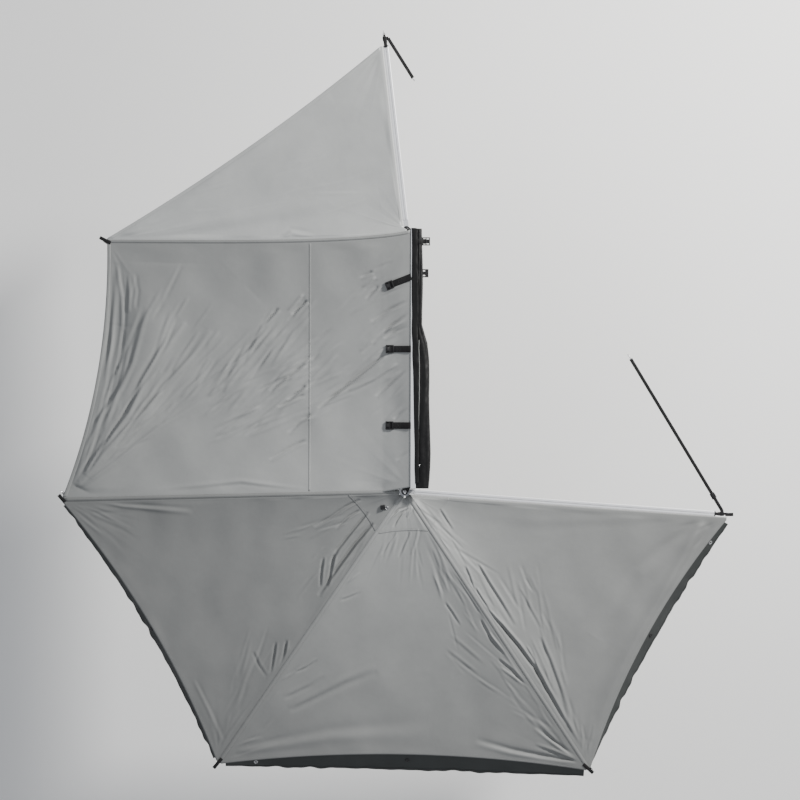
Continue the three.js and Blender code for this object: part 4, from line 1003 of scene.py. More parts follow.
# %% Creases of each panel
CREASES = {
    "side": [
        (14, 22, 14, (68, 490), (86, 428), (97, 388), (107, 340), (113, 268)),
        (12.8, 21, 12, (71, 488), (82, 450), (96, 418), (117, 390), (129, 363), (139, 325), (145, 308)),
        (14, 27, 15, (73, 488), (81, 475), (103, 445), (126, 415), (141, 381), (158, 352), (182, 322)),
        (12.8, 23, 13, (75, 488), (101, 455), (119, 434), (143, 412), (158, 392), (187, 360), (208, 330)),
        (12.8, 22.4, 11.2, (78, 489), (112, 464), (137, 443), (156, 428), (180, 414), (207, 398)),
        (13, 15, 8, (100, 430), (112, 398), (120, 372), (126, 345)),
        (10, 11.2, -9, (77, 484), (90, 449), (104, 404), (117, 352), (122, 300)),
        (10, 11.2, -11, (84, 476), (108, 434), (139, 385), (163, 345), (174, 318)),
        (10, 11.2, -10, (112, 449), (143, 405), (176, 374), (205, 342)),
        (10, 11.2, -8.5, (94, 471), (139, 427), (174, 400), (201, 378)),
        (11.2, 14.4, 8.8, (92, 420), (101, 385), (106, 350), (108, 310), (109, 270)),
        (12.8, 17.6, 7.5, (128, 420), (146, 398), (160, 372)),
        (12.8, 14.4, 7.5, (222, 392), (238, 371), (262, 345)),
        (11.2, 14.4, 7.5, (178, 397), (194, 381), (208, 358)),
        (11.2, 14.4, 6.3, (170, 371), (184, 350), (196, 332)),
        (11.2, 12.8, 7.5, (124, 312), (125, 292), (124, 274)),
        (11.2, 12.8, -5, (132, 308), (134, 290), (131, 272)),
        (11.2, 14.4, 7.5, (112, 264), (117, 296), (118, 330)),
        (140, 240, 40, (78, 490), (128, 400), (150, 330), (152, 262)),
        (60, 140, 12.5, (84, 478), (150, 400), (212, 330), (250, 292)),
        (9.6, 11.2, -21, (385, 354), (350, 382), (318, 408)),
        (11.2, 11.2, -12, (310, 415), (298, 424), (288, 433)),
        (9.5, 9.5, -10.5, (372, 271), (360, 277)),
        (9.5, 9.5, 10.5, (375, 277), (362, 287)),
        (9.5, 9.5, -10.5, (378, 286), (366, 298)),
        (10, 12, -15, (408, 300), (390, 309), (371, 321)),
        (10, 12, -16.5, (408, 313), (390, 326), (372, 342)),
        (10, 12, 12, (408, 319), (384, 332), (360, 351)),
        (9.5, 10, -13.5, (408, 326), (396, 331), (384, 338)),
        (10, 12, 10.5, (397, 364), (374, 379), (349, 391)),
        (10, 11, -13.5, (405, 371), (392, 382), (376, 396)),
        (9.5, 10, -12.8, (408, 408), (401, 413), (394, 419)),
        (9.5, 10, -11.2, (408, 452), (397, 460)),
        (9.5, 10, -18, (306, 300), (299, 306), (291, 314)),
        (9.5, 9.5, 10.5, (302, 294), (295, 302), (287, 310)),
        (9.5, 10, -15, (277, 308), (268, 317), (261, 325)),
        (9.5, 11, -15, (304, 364), (288, 376), (269, 391)),
        (9.5, 9.5, 12, (288, 377), (280, 384), (272, 391)),
        (9.5, 10, -18, (305, 386), (297, 392), (287, 400)),
        (9.5, 10, -12, (303, 395), (290, 401), (277, 407)),
        (10, 11, -12.8, (304, 441), (288, 449), (269, 460)),
        (12.8, 17.6, 5, (350, 498), (300, 490), (240, 482), (150, 492)),
    ],
    "front": [
        (40, 70, 8, (110, 238), (180, 200), (262, 142), (330, 95)),
        (30, 70, -6, (125, 243), (220, 228), (320, 215), (380, 205)),
        (16, 20, 5, (268, 246), (290, 232), (312, 236)),
    ],
    "rear_left": [
        (9, 13.6, -11.2, (360, 500), (345, 508), (329, 519), (314, 528)),
        (9, 10.9, -9.6, (359, 511), (348, 518), (336, 529)),
        (9, 13.6, -14.4, (368, 513), (352, 532), (337, 551), (330, 566)),
        (10.9, 13.6, -19.2, (373, 524), (355, 545), (336, 571), (318, 597)),
        (9.5, 9.5, -14.4, (334, 556), (331, 572), (327, 588)),
        (9, 9, -11.2, (323, 559), (321, 574), (320, 589)),
        (9, 9, -12.8, (286, 643), (284, 656), (278, 673)),
        (9, 9, 9.6, (290, 650), (288, 664), (285, 676)),
        (9, 9, -9.6, (275, 645), (273, 660), (270, 676)),
        (9.5, 12.2, -14.4, (271, 689), (255, 708), (241, 726)),
        (9, 9, -6, (252, 655), (258, 668), (266, 680)),
        (10.9, 13.6, 4, (192, 684), (208, 716), (222, 748)),
        (10.9, 20.4, 9.6, (74, 498), (120, 508), (190, 514)),
    ],
    "rear": [
        (
            12.2, 17.7, -24.6, (458, 577), (480, 611), (496, 627), (514, 647), (532, 672), (545, 697),
            (564, 729), (582, 758),
        ),
        (9.5, 13.6, 11.2, (490, 634), (507, 655), (530, 690), (547, 716)),
        (9.5, 12.2, -10.1, (482, 622), (493, 642), (506, 657)),
        (9.5, 9.5, -10.1, (500, 662), (514, 673), (538, 697)),
        (9, 9, 6.7, (502, 670), (516, 680), (530, 691)),
        (9, 12.2, -14.4, (584, 763), (569, 754), (550, 740), (538, 730)),
        (9, 10.9, 11.2, (582, 765), (560, 756), (538, 748)),
        (12.2, 20.4, -14.4, (582, 766), (543, 760), (514, 754), (478, 744)),
        (9.5, 9.5, -6.7, (556, 730), (549, 720), (542, 708)),
        (9, 9.5, -5.6, (446, 605), (453, 615), (461, 628)),
        (10.9, 12.2, -10.1, (446, 528), (453, 548), (463, 574), (474, 596)),
        (16.3, 18, -7, (285, 702), (310, 690), (324, 680)),
        (20.4, 28, -10, (290, 715), (319, 701), (345, 688), (378, 675)),
        (9, 9, -7.8, (296, 675), (306, 671), (317, 663)),
        (9, 9, 5.6, (281, 683), (290, 678), (300, 671)),
        (9, 9, 5.6, (340, 587), (350, 582), (360, 574)),
        (9, 9, -5.6, (341, 602), (350, 599), (361, 594)),
        (9, 9.5, -6.7, (396, 534), (389, 543), (382, 556)),
        (9, 9.5, -6.7, (410, 533), (405, 544), (399, 558)),
        (9, 9.5, 5.6, (419, 530), (417, 540), (412, 556)),
        (9.5, 12.2, 5.6, (235, 751), (246, 746), (262, 742)),
        (20.4, 60, 9.6, (236, 757), (330, 742), (430, 738)),
        (7.5, 9, -16, (411, 500), (407, 507), (399, 510), (392, 516), (386, 524)),
        (7.5, 8, -12, (409, 509), (402, 514), (397, 521), (394, 528)),
        (7, 8, 10, (414, 504), (411, 512), (407, 518)),
    ],
    "rear_right": [
        (9, 9.5, -6.2, (440, 510), (446, 520), (453, 531)),
        (9, 9.5, -8.3, (466, 568), (471, 580), (475, 594)),
        (9.5, 9.5, -9.4, (476, 590), (482, 600), (490, 612)),
        (9.5, 13.6, -9.1, (479, 566), (490, 585), (502, 604), (516, 628)),
        (
            10.5, 15, -20, (485, 609), (503, 628), (520, 648), (537, 671), (550, 694), (568, 727),
            (584, 755),
        ),
        (9, 9.5, -7.3, (528, 650), (536, 664), (546, 684)),
        (12.2, 16.3, -9.1, (542, 640), (552, 664), (562, 692), (572, 728)),
        (9.5, 12.2, -4.2, (522, 592), (532, 612), (543, 632)),
        (9, 9.5, -6.2, (587, 756), (588, 742), (586, 728)),
        (9, 9.5, 5.2, (590, 757), (595, 744), (598, 728)),
        (34, 80, 19.2, (712, 514), (672, 588), (632, 660), (594, 745)),
        (34, 80, -9.6, (706, 520), (640, 570), (600, 640)),
        (30, 40, 2, (700, 514), (620, 520), (540, 522), (470, 514)),
    ],
}
FANS = {
    "side": [
        (CORNER_C, 30, 80, 9, 0.7, 0.004, 3),
        (CORNER_B, -92, -50, 6, 0.45, 0.003, 4),
        (RAIL_CORNER_REAR, 95, 178, 7, 0.4, 0.002, 5),
        (RAIL_CORNER_FRONT, 183, 262, 6, 0.4, 0.003, 6),
    ],
    "front": [
        (CORNER_B, 0, 34, 6, 0.7, 0.003, 11),
        (CORNER_A, 222, 262, 6, 0.5, 0.0014, 12),
        (FRONT, 100, 176, 7, 0.4, 0.001, 13),
    ],
    "rear_left": [
        (CORNER_C, -54, -3, 9, 0.4, 0.004, 21),
        (CORNER_D, 60, 112, 7, 0.4, 0.004, 22),
        (HUB, 184, 232, 6, 0.5, 0.002, 23),
    ],
    "rear": [
        (CORNER_E, 128, 176, 9, 0.45, 0.005, 31),
        (CORNER_D, 4, 54, 7, 0.35, 0.004, 32),
        (HUB, 240, 300, 8, 0.5, 0.002, 33),
    ],
    "rear_right": [
        (CORNER_E, 62, 118, 8, 0.4, 0.005, 41),
        (CORNER_F, 186, 238, 7, 0.4, 0.003, 42),
        (HUB, 306, 352, 6, 0.5, 0.001, 43),
    ],
}
DASHES = {
    "side": [
        (CORNER_C, 36, 72, 0.5, 1.8, 60, 0.0056, 7, 2),
        (CORNER_C, 18, 42, 1.3, 2.3, 110, 0.008, 9, 9),
        (RAIL_CORNER_REAR, 92, 106, 0.5, 1.7, 30, 0.0055, 10, -62),
    ],
    "front": [(CORNER_B, 2, 30, 0.2, 1.9, 24, 0.0014, 15)],
    "rear_left": [
        (CORNER_D, 48, 80, 0.1, 0.95, 34, 0.0035, 25),
        (CORNER_C, -50, -6, 0.08, 0.45, 14, 0.0025, 26),
        (HUB, 198, 236, 0.44, 0.95, 22, 0.0035, 27),
    ],
    "rear": [
        (CORNER_E, 120, 142, 0.1, 1.3, 44, 0.004, 35),
        (HUB, 286, 306, 0.4, 1.2, 22, 0.0035, 36),
        (HUB, 246, 288, 0.4, 0.58, 12, 0.003, 37),
        (CORNER_D, 14, 58, 0.08, 0.6, 18, 0.0028, 38),
    ],
    "rear_right": [
        (CORNER_E, 102, 122, 0.2, 1.5, 44, 0.004, 45),
        (HUB, 304, 322, 0.15, 0.8, 18, 0.003, 46),
        (CORNER_F, 190, 235, 0.08, 0.4, 10, 0.0022, 47),
    ],
}
RIPPLES = {
    "side": (8, 0.0035, 0.42),
    "front": (14, 0.003, 0.45),
    "rear_left": (24, 0.0035, 0.4),
    "rear": (34, 0.0035, 0.4),
    "rear_right": (44, 0.0035, 0.4),
}
KINK_AT, KINK_SMOOTH, KINK_SLOPE = 0.205, 0.17, 0.21


def kink_relief(x, y):
    """A soft ridge beside the rail, highest at its rear end, where the cloth drops to arm C."""
    kink = np.clip(KINK_SMOOTH - np.abs(RAIL_OUTER - x - KINK_AT), 0, None) ** 2 / (4 * KINK_SMOOTH)
    return KINK_SLOPE * kink * np.clip(1 - (y - RAIL_REAR) / (RAIL_FRONT - RAIL_REAR), 0, 1)


def relief_of(place, x, y):
    """All relief of one panel."""
    relief = sum(fan_relief(x, y, *fan) for fan in FANS[place])
    relief += sum(dash_relief(x, y, *dashes) for dashes in DASHES[place])
    if place == "side":
        relief += kink_relief(x, y)
    relief += sum(crease_relief(x, y, *crease) for crease in CREASES[place])
    return relief + ripple_relief(x, y, *RIPPLES[place])


def seam_pair(edge, seam, free):
    """A seam line and the line where the panel's free cloth starts, at two distances to the side."""
    return edge(seam), edge(free)


def arm_pair(letter, side, seam=GAP, free=HEM):
    return arm_edge(letter, side * seam), arm_edge(letter, side * free)


PANELS = {
    "side": Panel("side", seam_pair(side_edge, -GAP, -HEM), seam_pair(seam_b, -GAP, -HEM)),
    "front": Panel(
        "front",
        tuple(from_front(edge) for edge in seam_pair(seam_b, GAP, HEM)),
        seam_pair(front_edge, BESIDE_ARM, BESIDE_ARM + HEM),
    ),
    "rear_left": Panel("rear_left", arm_pair("c", 1), arm_pair("d", -1)),
    "rear": Panel("rear", arm_pair("d", 1), arm_pair("e", -1)),
    "rear_right": Panel("rear_right", arm_pair("e", 1), arm_pair("f", -1, BESIDE_ARM, BESIDE_ARM + HEM)),
}
print("panels:", len(PANELS), "creases:", sum(len(rows) for rows in CREASES.values()))

# %% [markdown]
# ## How the cloth is kept by panel
# Each piece of cloth is listed with its panel. The front wing rides on arm A. For each hub panel a table
# gives the two bodies it lies between, the angle it starts at, the angle it covers and a little extra
# angle, but nothing turns the cloth by them: its place is only baked into its mesh.

# %% Folding
HANG = 0.05


def fan_blend(piece, first_body, second_body, start, span, hang):
    """Bakes a piece's place into its mesh and reads its points, but blends nothing; the two bodies, the
    start and span in degrees, and the hang are not used.
    """
    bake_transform(piece)
    co = np.empty(len(piece.data.vertices) * 3)
    piece.data.vertices.foreach_get("co", co)


FAN = {
    "side": ("root", "arm_c", 90.0, 91.6, 0.0),
    "rear_left": ("arm_c", "arm_d", 181.6, 54.1, HANG),
    "rear": ("arm_d", "arm_e", 235.7, 67.9, HANG),
    "rear_right": ("arm_e", "arm_f", 303.6, 52.3, HANG),
}
on_panel = {}


def fold_with(piece, panel):
    """Lists a piece with its panel's cloth; on the front wing it rides on arm A, on the others its place
    is baked in.
    """
    on_panel.setdefault(panel, []).append(piece)
    if panel == "front":
        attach(piece, "arm_a")
        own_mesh(piece)
    else:
        fan_blend(piece, *FAN[panel])
    return piece


canopy = {}
for place, panel in PANELS.items():
    piece = sheet_mesh(f"cloth_{place}_panel", panel.full().copy(), CLOTH)
    canopy[place] = dress(piece, CANOPY[place], "canopy_cloth", None, [f"canopy_{place}_panel"])
for place, piece in canopy.items():
    fold_with(piece, place)
    print(piece.name, "faces:", len(piece.data.polygons))

# %% [markdown]
# ## Valances
# A dark flap hangs from each of the three rear edges. Its lower edge is cut straight between the
# corners and ripples, so from above it shows as a dark strip that widens to the middle. Each has its
# two corners, its flare, how much that grows towards its end, how far it follows the panel's bow, and
# a seed.

# %% Valances
VALANCES = {
    "rear_left": (CORNER_C, CORNER_D, 0.031, 0.0, 0.75, 51),
    "rear": (CORNER_D, CORNER_E, 0.044, 0.014, 0.0, 52),
    "rear_right": (CORNER_E, CORNER_F, 0.024, 0.016, 0.45, 53),
}
VALANCE_DROP = 0.095
VALANCE_WAVE, VALANCE_WAVES, SKEW_LEVEL = 0.008, 7, 0.7
VALANCE_FOLD_LOW, VALANCE_FOLD_MORE = 0.0022, 0.0065
VALANCE_END = 0.35
VALANCE_TRIM = {"rear_left": (0.018, 0.982), "rear": (0.018, 0.9892), "rear_right": (0.018, 0.982)}
VALANCE_THICK, VALANCE_HEM_THICK, VALANCE_HEM_PROUD, VALANCE_HEM_FROM = 0.0012, 0.003, 0.0009, 0.86
VALANCE_COLUMNS, VALANCE_ROWS = 220, 12


def valance_surface(place):
    """Hangs from the panel's edge; its lower edge lies between that bowed edge and a straight line."""
    start, end, flare, skew, follow, seed = VALANCES[place]
    outer = outer_edge(start, end, HUB, HEM_BOW[place])
    away = np.array([end[1] - start[1], start[0] - end[0], 0])
    away /= np.linalg.norm(away)
    if away[:2] @ (HUB[:2] - start[:2]) > 0:
        away = -away
    phases = np.random.default_rng(seed).uniform(0, 2 * math.pi, 4)

    def surface(u, v):
        top = outer(u) + away * LIFT
        top[..., 2] -= CLOTH + LIFT
        low = between(start, end, u)
        low += (outer(u) - low) * follow + away * flare
        low += away * (skew * (2 * u - SKEW_LEVEL))[..., None]
        low[..., 2] -= VALANCE_DROP * (VALANCE_END + (1 - VALANCE_END) * bow(u))
        low[..., 2] -= VALANCE_WAVE * np.sin(u * math.pi * VALANCE_WAVES)
        point = between(top, low, v)
        folds = 0.6 * np.sin(60 * u + phases[0] + 2 * np.sin(9 * u + phases[1]))
        folds += 0.4 * np.sin(131 * u + phases[2])
        folds = folds * (VALANCE_FOLD_LOW + VALANCE_FOLD_MORE * np.sin(7 * u + phases[3]) ** 4)
        point += away * (v * v * folds * np.clip(bow(u) * 4, 0, 1))[..., None]
        return point

    return surface


def surface_grid(surface, u_range, v_range, columns, rows):
    u, v = np.meshgrid(np.linspace(*u_range, columns + 1), np.linspace(*v_range, rows + 1))
    return surface(u, v)


for place, trim in VALANCE_TRIM.items():
    surface = valance_surface(place)
    grid = surface_grid(surface, trim, (0, 1), VALANCE_COLUMNS, VALANCE_ROWS)
    flap = sheet_mesh("valance_cloth_" + place, grid, VALANCE_THICK)
    fold_with(dress(flap, VALANCE, "valance_cloth", None, ["valance_" + place]), place)
    grid = surface_grid(surface, trim, (VALANCE_HEM_FROM, 1), VALANCE_COLUMNS, 2)
    hem = sheet_mesh("valance_hem_" + place, grid + [0, 0, VALANCE_HEM_PROUD], VALANCE_HEM_THICK)
    fold_with(dress(hem, VALANCE, "valance_cloth"), place)
print("valances:", len(VALANCES))

# %% [markdown]
# ## Corner tabs
# A short loop of webbing is sewn on each corner of the canopy and stands out over the tip bracket. It is
# a band along a line that turns back under itself, and stays on its arm when the bracket swivels.

# %% Corner tabs
TAB_WIDTH, TAB_THICK, TAB_LOOP = 0.025, 0.0022, 0.0040
TAB_OVER = 0.0030
TAB_BACK = (0.006, 0.014, 0.022)
TABS = {
    "a": (0.012, 0.066, 0.0),
    "b": (0.030, 0.058, CLOTH_TOP),
    "c": (0.024, 0.042, CLOTH_TOP),
    "d": (0.036, 0.054, CLOTH_TOP),
    "e": (0.050, 0.044, CLOTH_TOP),
    "f": (0.012, 0.044, 0.0),
}


def tab_route(letter, inside, outside, lift):
    """A line over the corner, round a small loop at its end, and back under."""
    arm = ARMS[letter]
    ahead = arm.tip_frame().col[0].to_3d().normalized()
    up = Vector((0, 0, 1))
    corner = Vector(arm.over(arm.tip, 0, lift + TAB_OVER))
    points = [corner + ahead * reach for reach in np.linspace(-inside, outside, 12)]
    middle = points[-1] - up * TAB_LOOP
    for turn in np.radians(np.linspace(70, -90, 9)):
        points.append(middle + ahead * TAB_LOOP * math.cos(turn) + up * TAB_LOOP * math.sin(turn))
    points += [points[-1] - ahead * reach for reach in TAB_BACK]
    return points, ahead


for letter, (inside, outside, lift) in TABS.items():
    route, ahead = tab_route(letter, inside, outside, lift)
    tab = webbing_mesh("corner_tab_" + letter, route, (-ahead.y, ahead.x, 0), TAB_WIDTH, TAB_THICK)
    dress(tab, WEBBING, "webbing", f"arm_{letter}")
print("corner tabs:", len(TABS))

# %% [markdown]
# ## Seams, bindings and the hub patch
# A flat tape covers each seam, with a row of stitches along both its edges. The patch round the hub is
# a second layer of cloth, cut straight from arm to arm. The open edges have a folded hem.

# %% Seam tapes, patch and hems
TAPE_HALF, TAPE_B_HALF = 0.015, 0.012
STITCH_INSET = 0.003
SEAM_ENDS, SEAM_B_ENDS = (0.002, 0.998), (0.01, 0.995)
TAPE_THICK = 0.0014
TAPE_PROUD = 0.0009
PATCH_THICK, PATCH_PROUD, PATCH_ROWS = 0.0014, 0.0008, (0.97, 0.93)
ROW_PROUD = 0.0001
HEM_ROWS = (0.010, 0.022)
HEM_DEEP, HEM_PROUD = 0.026, 0.0007
FELL_HALF, FELL_ROW, FELL_THICK = 0.007, 0.0045, 0.0015


def tape(name, line, half, steps):
    """A tape along a line, just proud of the cloth."""
    share = np.linspace(0, 1, steps + 1)
    low, high = line(-half)(share), line(half)(share)
    grid = np.stack([between(low, high, np.full(share.shape, s)) for s in (0, 0.5, 1)], 1)
    return sheet_mesh(name, grid + [0, 0, TAPE_PROUD], TAPE_THICK)


stitch_rows = []


def stitch_beside(name, line, aside, share, words, place):
    """Notes a row of stitches on either side of a line, to be made later."""
    for side, word in zip((-1, 1), words):
        row = line(side * aside)(share) + [0, 0, TAPE_PROUD + ROW_PROUD]
        stitch_rows.append((f"stitches_{name}_{word}", row, place))


for letter in "cde":
    def line(side, letter=letter):
        return arm_edge(letter, side)

    piece = tape("seam_tape_" + letter, line, TAPE_HALF, 60)
    dress(piece, CANOPY[SEAM_PAINTED_LIGHT[letter]], "canopy_cloth", "arm_" + letter)
    share = np.linspace(*SEAM_ENDS, 90)
    body, sides = "arm_" + letter, ("right", "left")
    stitch_beside(body, line, TAPE_HALF - STITCH_INSET, share, sides, body)

seam_tape_b = tape("seam_tape_b", seam_b, TAPE_B_HALF, 80)
fold_with(dress(seam_tape_b, CANOPY["side"], "canopy_cloth"), "side")
share = np.linspace(*SEAM_B_ENDS, 120)
stitch_beside("seam_b", seam_b, TAPE_B_HALF - STITCH_INSET, share, ("rear", "front"), "side")

PATCH_REACH = {"c": 0.416, "d": 0.363, "e": 0.340, "f": 0.330}
PATCH_ENDS = {"rear_left": "cd", "rear": "de", "rear_right": "ef"}


def patch_share(letter):
    return (PATCH_REACH[letter] - HUB_CUT) / (ARMS[letter].tip - HUB_CUT)


def patch_grid(panel, ends, rows, columns):
    """The inner end of a panel, cut straight across between two shares along its seams."""
    share = np.linspace(0, 1, rows + 1)
    u, v = np.meshgrid(np.linspace(0, 1, columns + 1), share)
    middle = panel.middle(u, v * (ends[0] * (1 - u) + ends[1] * u))
    first = panel.first[0](share * ends[0])[:, None]
    second = panel.second[0](share * ends[1])[:, None]
    return np.concatenate([first, middle, second], 1)


for place, letters in PATCH_ENDS.items():
    ends = np.array([patch_share(letter) for letter in letters])
    grid = patch_grid(PANELS[place], ends, 40, 60) + [0, 0, PATCH_PROUD]
    piece = sheet_mesh("hub_patch_" + place, grid, PATCH_THICK)
    fold_with(dress(piece, CANOPY[place], "canopy_cloth"), place)
    for inset in PATCH_ROWS:
        row = patch_grid(PANELS[place], ends * inset, 2, 60)[-1] + [0, 0, PATCH_PROUD + ROW_PROUD]
        stitch_rows.append((f"stitches_patch_{place}_{round(inset * 100)}", row, place))

for place, panel in PANELS.items():
    depth = np.linalg.norm(panel.outer(0.5) - panel.inner(0.5))
    u = np.linspace(0, 1, 200)
    for inset in HEM_ROWS:
        row = panel.middle(u, np.full(u.shape, 1 - inset / depth)) + [0, 0, 2 * ROW_PROUD]
        stitch_rows.append((f"stitches_hem_{place}_{round(inset * 1000)}", row, place))
    if place not in VALANCES:
        grid = surface_grid(panel.middle, (0, 1), (1 - HEM_DEEP / depth, 1), 170, 3)
        piece = sheet_mesh("edge_hem_" + place, grid + [0, 0, HEM_PROUD], CLOTH + 2 * HEM_PROUD)
        fold_with(dress(piece, CANOPY[place], "canopy_cloth"), place)

print("stitch rows waiting:", len(stitch_rows))

# %% [markdown]
# ## Felled seam
# The fabric join that runs down the side panel from the front seam to the rear seam is a narrow felled
# seam, seen in the photograph about three quarters of a metre out from the rail.

# %% Felled seam of the side panel
side_panel = PANELS["side"]
JOIN_X = at_pixel(309, 0)[0]


def side_point(x, share, lift):
    """A point of the side panel on the line of constant X, from its rear edge to its front edge."""
    u = np.asarray(share, float)
    v = np.full(u.shape, 0.5)
    step = 0.004
    for _ in range(25):
        here = side_panel.middle(u, v)
        ahead = side_panel.middle(u, v + step)
        v = np.clip(v + (x - here[..., 0]) * step / (ahead[..., 0] - here[..., 0]), 0, 1)
    return side_panel.middle(u, v) + [0, 0, lift]


share = np.linspace(0, 1, 120)
offsets = (-FELL_HALF, 0, FELL_HALF)
felled = np.stack([side_point(JOIN_X + offset, share, HEM_PROUD) for offset in offsets], 1)
piece = sheet_mesh("felled_seam_side", felled, FELL_THICK)
fold_with(dress(piece, CANOPY["side"], "canopy_cloth"), "side")
for offset, word in ((-FELL_ROW, "out"), (FELL_ROW, "in")):
    row = side_point(JOIN_X + offset, share, HEM_PROUD + ROW_PROUD)
    stitch_rows.append(("stitches_felled_" + word, row, "side"))
print("felled seam at x", round(JOIN_X, 3))

# %% [markdown]
# ## Stitches
# One Geometry Nodes group sets a stitch at every step along a line. Its result is kept as a mesh, so that
# each row can ride on its arm or be listed with its panel's cloth.

# %% Stitch rows with Geometry Nodes
STITCH_PITCH = 0.008
STITCH_SIZE = (0.0052, 0.0012, 0.0009)


def make_row_group():
    """Turns an edge line into a row of small blocks along it."""
    line = [("Geometry", "NodeSocketGeometry")]
    inputs = line + floats("Pitch") + [("Size", "NodeSocketVector"), ("Material", "NodeSocketMaterial")]
    group, start, end = new_group("stitch_row", inputs, line, "GeometryNodeTree")
    curve = add(group, "GeometryNodeMeshToCurve")
    steps = add(group, "GeometryNodeResampleCurve", mode="LENGTH")
    points = add(group, "GeometryNodeCurveToPoints", mode="EVALUATED")
    block = add(group, "GeometryNodeMeshCube")
    spread = add(group, "GeometryNodeInstanceOnPoints")
    turn = add(group, "FunctionNodeAlignRotationToVector", axis="X", pivot_axis="AUTO")
    real = add(group, "GeometryNodeRealizeInstances")
    paint = add(group, "GeometryNodeSetMaterial")
    wire(
        group,
        (start, "Geometry", curve, "Mesh"),
        (curve, 0, steps, "Curve"),
        (start, "Pitch", steps, "Length"),
        (steps, 0, points, "Curve"),
        (points, "Points", spread, "Points"),
        (points, "Tangent", turn, "Vector"),
        (turn, 0, spread, "Rotation"),
        (start, "Size", block, "Size"),
        (block, "Mesh", spread, "Instance"),
        (spread, 0, real, 0),
        (real, 0, paint, "Geometry"),
        (start, "Material", paint, "Material"),
        (paint, 0, end, "Geometry"),
    )
    return group


ROW_GROUP = make_row_group()


def row_of_stitches(name, points, material, pitch=STITCH_PITCH, size=STITCH_SIZE):
    """A kept mesh of stitches along the points."""
    mesh = bpy.data.meshes.new(name)
    edges = [(i, i + 1) for i in range(len(points) - 1)]
    mesh.from_pydata([tuple(map(float, p)) for p in points], edges, [])
    piece = bpy.data.objects.new(name, mesh)
    scene.collection.objects.link(piece)
    modifier = piece.modifiers.new("rows", "NODES")
    modifier.node_group = ROW_GROUP
    values = {"Pitch": pitch, "Size": size, "Material": material}
    for item in ROW_GROUP.interface.items_tree:
        if item.in_out == "INPUT" and item.name in values:
            modifier[item.identifier] = values[item.name]
    settle(piece)
    return piece


for name, points, place in stitch_rows:
    piece = row_of_stitches(name, points, THREAD)
    if place.startswith("arm_"):
        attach(piece, place)
    else:
        fold_with(piece, place)
print("stitch rows:", len(stitch_rows))

# %% [markdown]
# ## Eyelets
# Five eyelets are pressed into the valances, two silver and three black. Each has a ring on either side
# of the cloth, set square to it.

# %% Eyelets
EYELETS = [
    ("rear_left", 0.51, "BLACK"),
    ("rear", 0.10, "STEEL"),
    ("rear", 0.51, "BLACK"),
    ("rear_right", 0.895, "STEEL"),
    ("rear_right", 0.51, "BLACK"),
]
EYELET_DOWN = 0.42
EYELET_PROUD = 0.0012
EYELET_STEPS = (0.01, 0.1)
FLAT = Matrix.Diagonal((1, 1, 0.5, 1))
EYELET_FINISH = {
    "STEEL": (STEEL, "bright_steel", 0.0120, 0.0040),
    # The black rings are so thick that they close their holes: their dark plastic is the black eyelet and
    # also painted shade where the hole would show through.
    "BLACK": (PLASTIC, "black_plastic", 0.0095, 0.0080),
}
for number, (place, share, tone) in enumerate(EYELETS):
    surface = valance_surface(place)
    u = np.array([share, share + EYELET_STEPS[0], share])
    v = np.array([EYELET_DOWN, EYELET_DOWN, EYELET_DOWN + EYELET_STEPS[1]])
    point, along, down = (Vector(p) for p in surface(u, v))
    facing = (along - point).cross(down - point).normalized()
    facing = facing if facing.z > 0 else -facing
    turn = facing.to_track_quat("Z", "Y").to_matrix().to_4x4()
    finish, slot, radius, wire_radius = EYELET_FINISH[tone]
    for lift, layer in ((EYELET_PROUD, "top"), (-EYELET_PROUD, "under")):
        at = Matrix.Translation(point + facing * lift) @ turn @ FLAT
        ring = ring_mesh(f"valance_eyelet_{number}_{layer}", at, radius, wire_radius)
        fold_with(dress(ring, finish, slot), place)
print("eyelets:", len(EYELETS))

# %% [markdown]
# ## Bag
# The empty transit cover lies folded along the rail on the vehicle's side. Its section is a flat
# rounded one, with folds across and along it and a loose lip over the top.

# %% Bag
BAG_HEIGHT = 0.040
BAG_BULGE = 0.005
BAG_WIDTHS = (
    (0, 0.14, 0.24, 0.36, 0.50, 0.56, 0.63, 1),
    (0.108, 0.112, 0.108, 0.096, 0.094, 0.086, 0.050, 0.046),
)
BAG_SWELLS = 5
BAG_TAPER = 0.12
BAG_SQUARE = 0.6
BAG_CROWN = 0.7
BAG_FULL, BAG_FOLD, BAG_SHIFT = 0.93, 0.09, 0.002
BAG_ROWS, BAG_SIDES = 190, 48
BAG_X = -0.045 + GAP
BAG_Z = 0.006 + GAP


def bag_point(along, turn):
    """The bag's surface at a share along it and a turn round it."""
    swell = BAG_BULGE * np.sin(along * math.pi * BAG_SWELLS + 1) * bow(along)
    taper = 1 - BAG_TAPER * (2 * along - 1) ** 6
    width = (np.interp(along, *BAG_WIDTHS) + swell) * taper
    lean = np.sign(np.cos(turn)) * np.abs(np.cos(turn)) ** BAG_SQUARE
    rise = np.maximum(0, np.sin(turn)) ** BAG_CROWN
    y = RAIL_REAR + along * (RAIL_FRONT - RAIL_REAR) + 0 * turn
    x = BAG_X + width / 2 * (1 + lean)
    # Folds across the bag, finer ones that lean, and long ones along it.
    folds = 0.5 * np.sin(2 * math.pi * (along * 9 + 0.3 * lean) + 1.3)
    folds += np.sin(2 * math.pi * (along * 23 - 0.7 * lean))
    folds = folds * 0.35 + 0.65 * np.sin(6.5 * lean + 2.5 * np.sin(along * 11) + 4 * along)
    height = (BAG_HEIGHT + swell / 2) * taper * rise
    z = BAG_Z + height * (BAG_FULL + BAG_FOLD * folds * bow((lean + 1) / 2))
    return np.stack([x + BAG_SHIFT * folds * rise, y, z], -1)


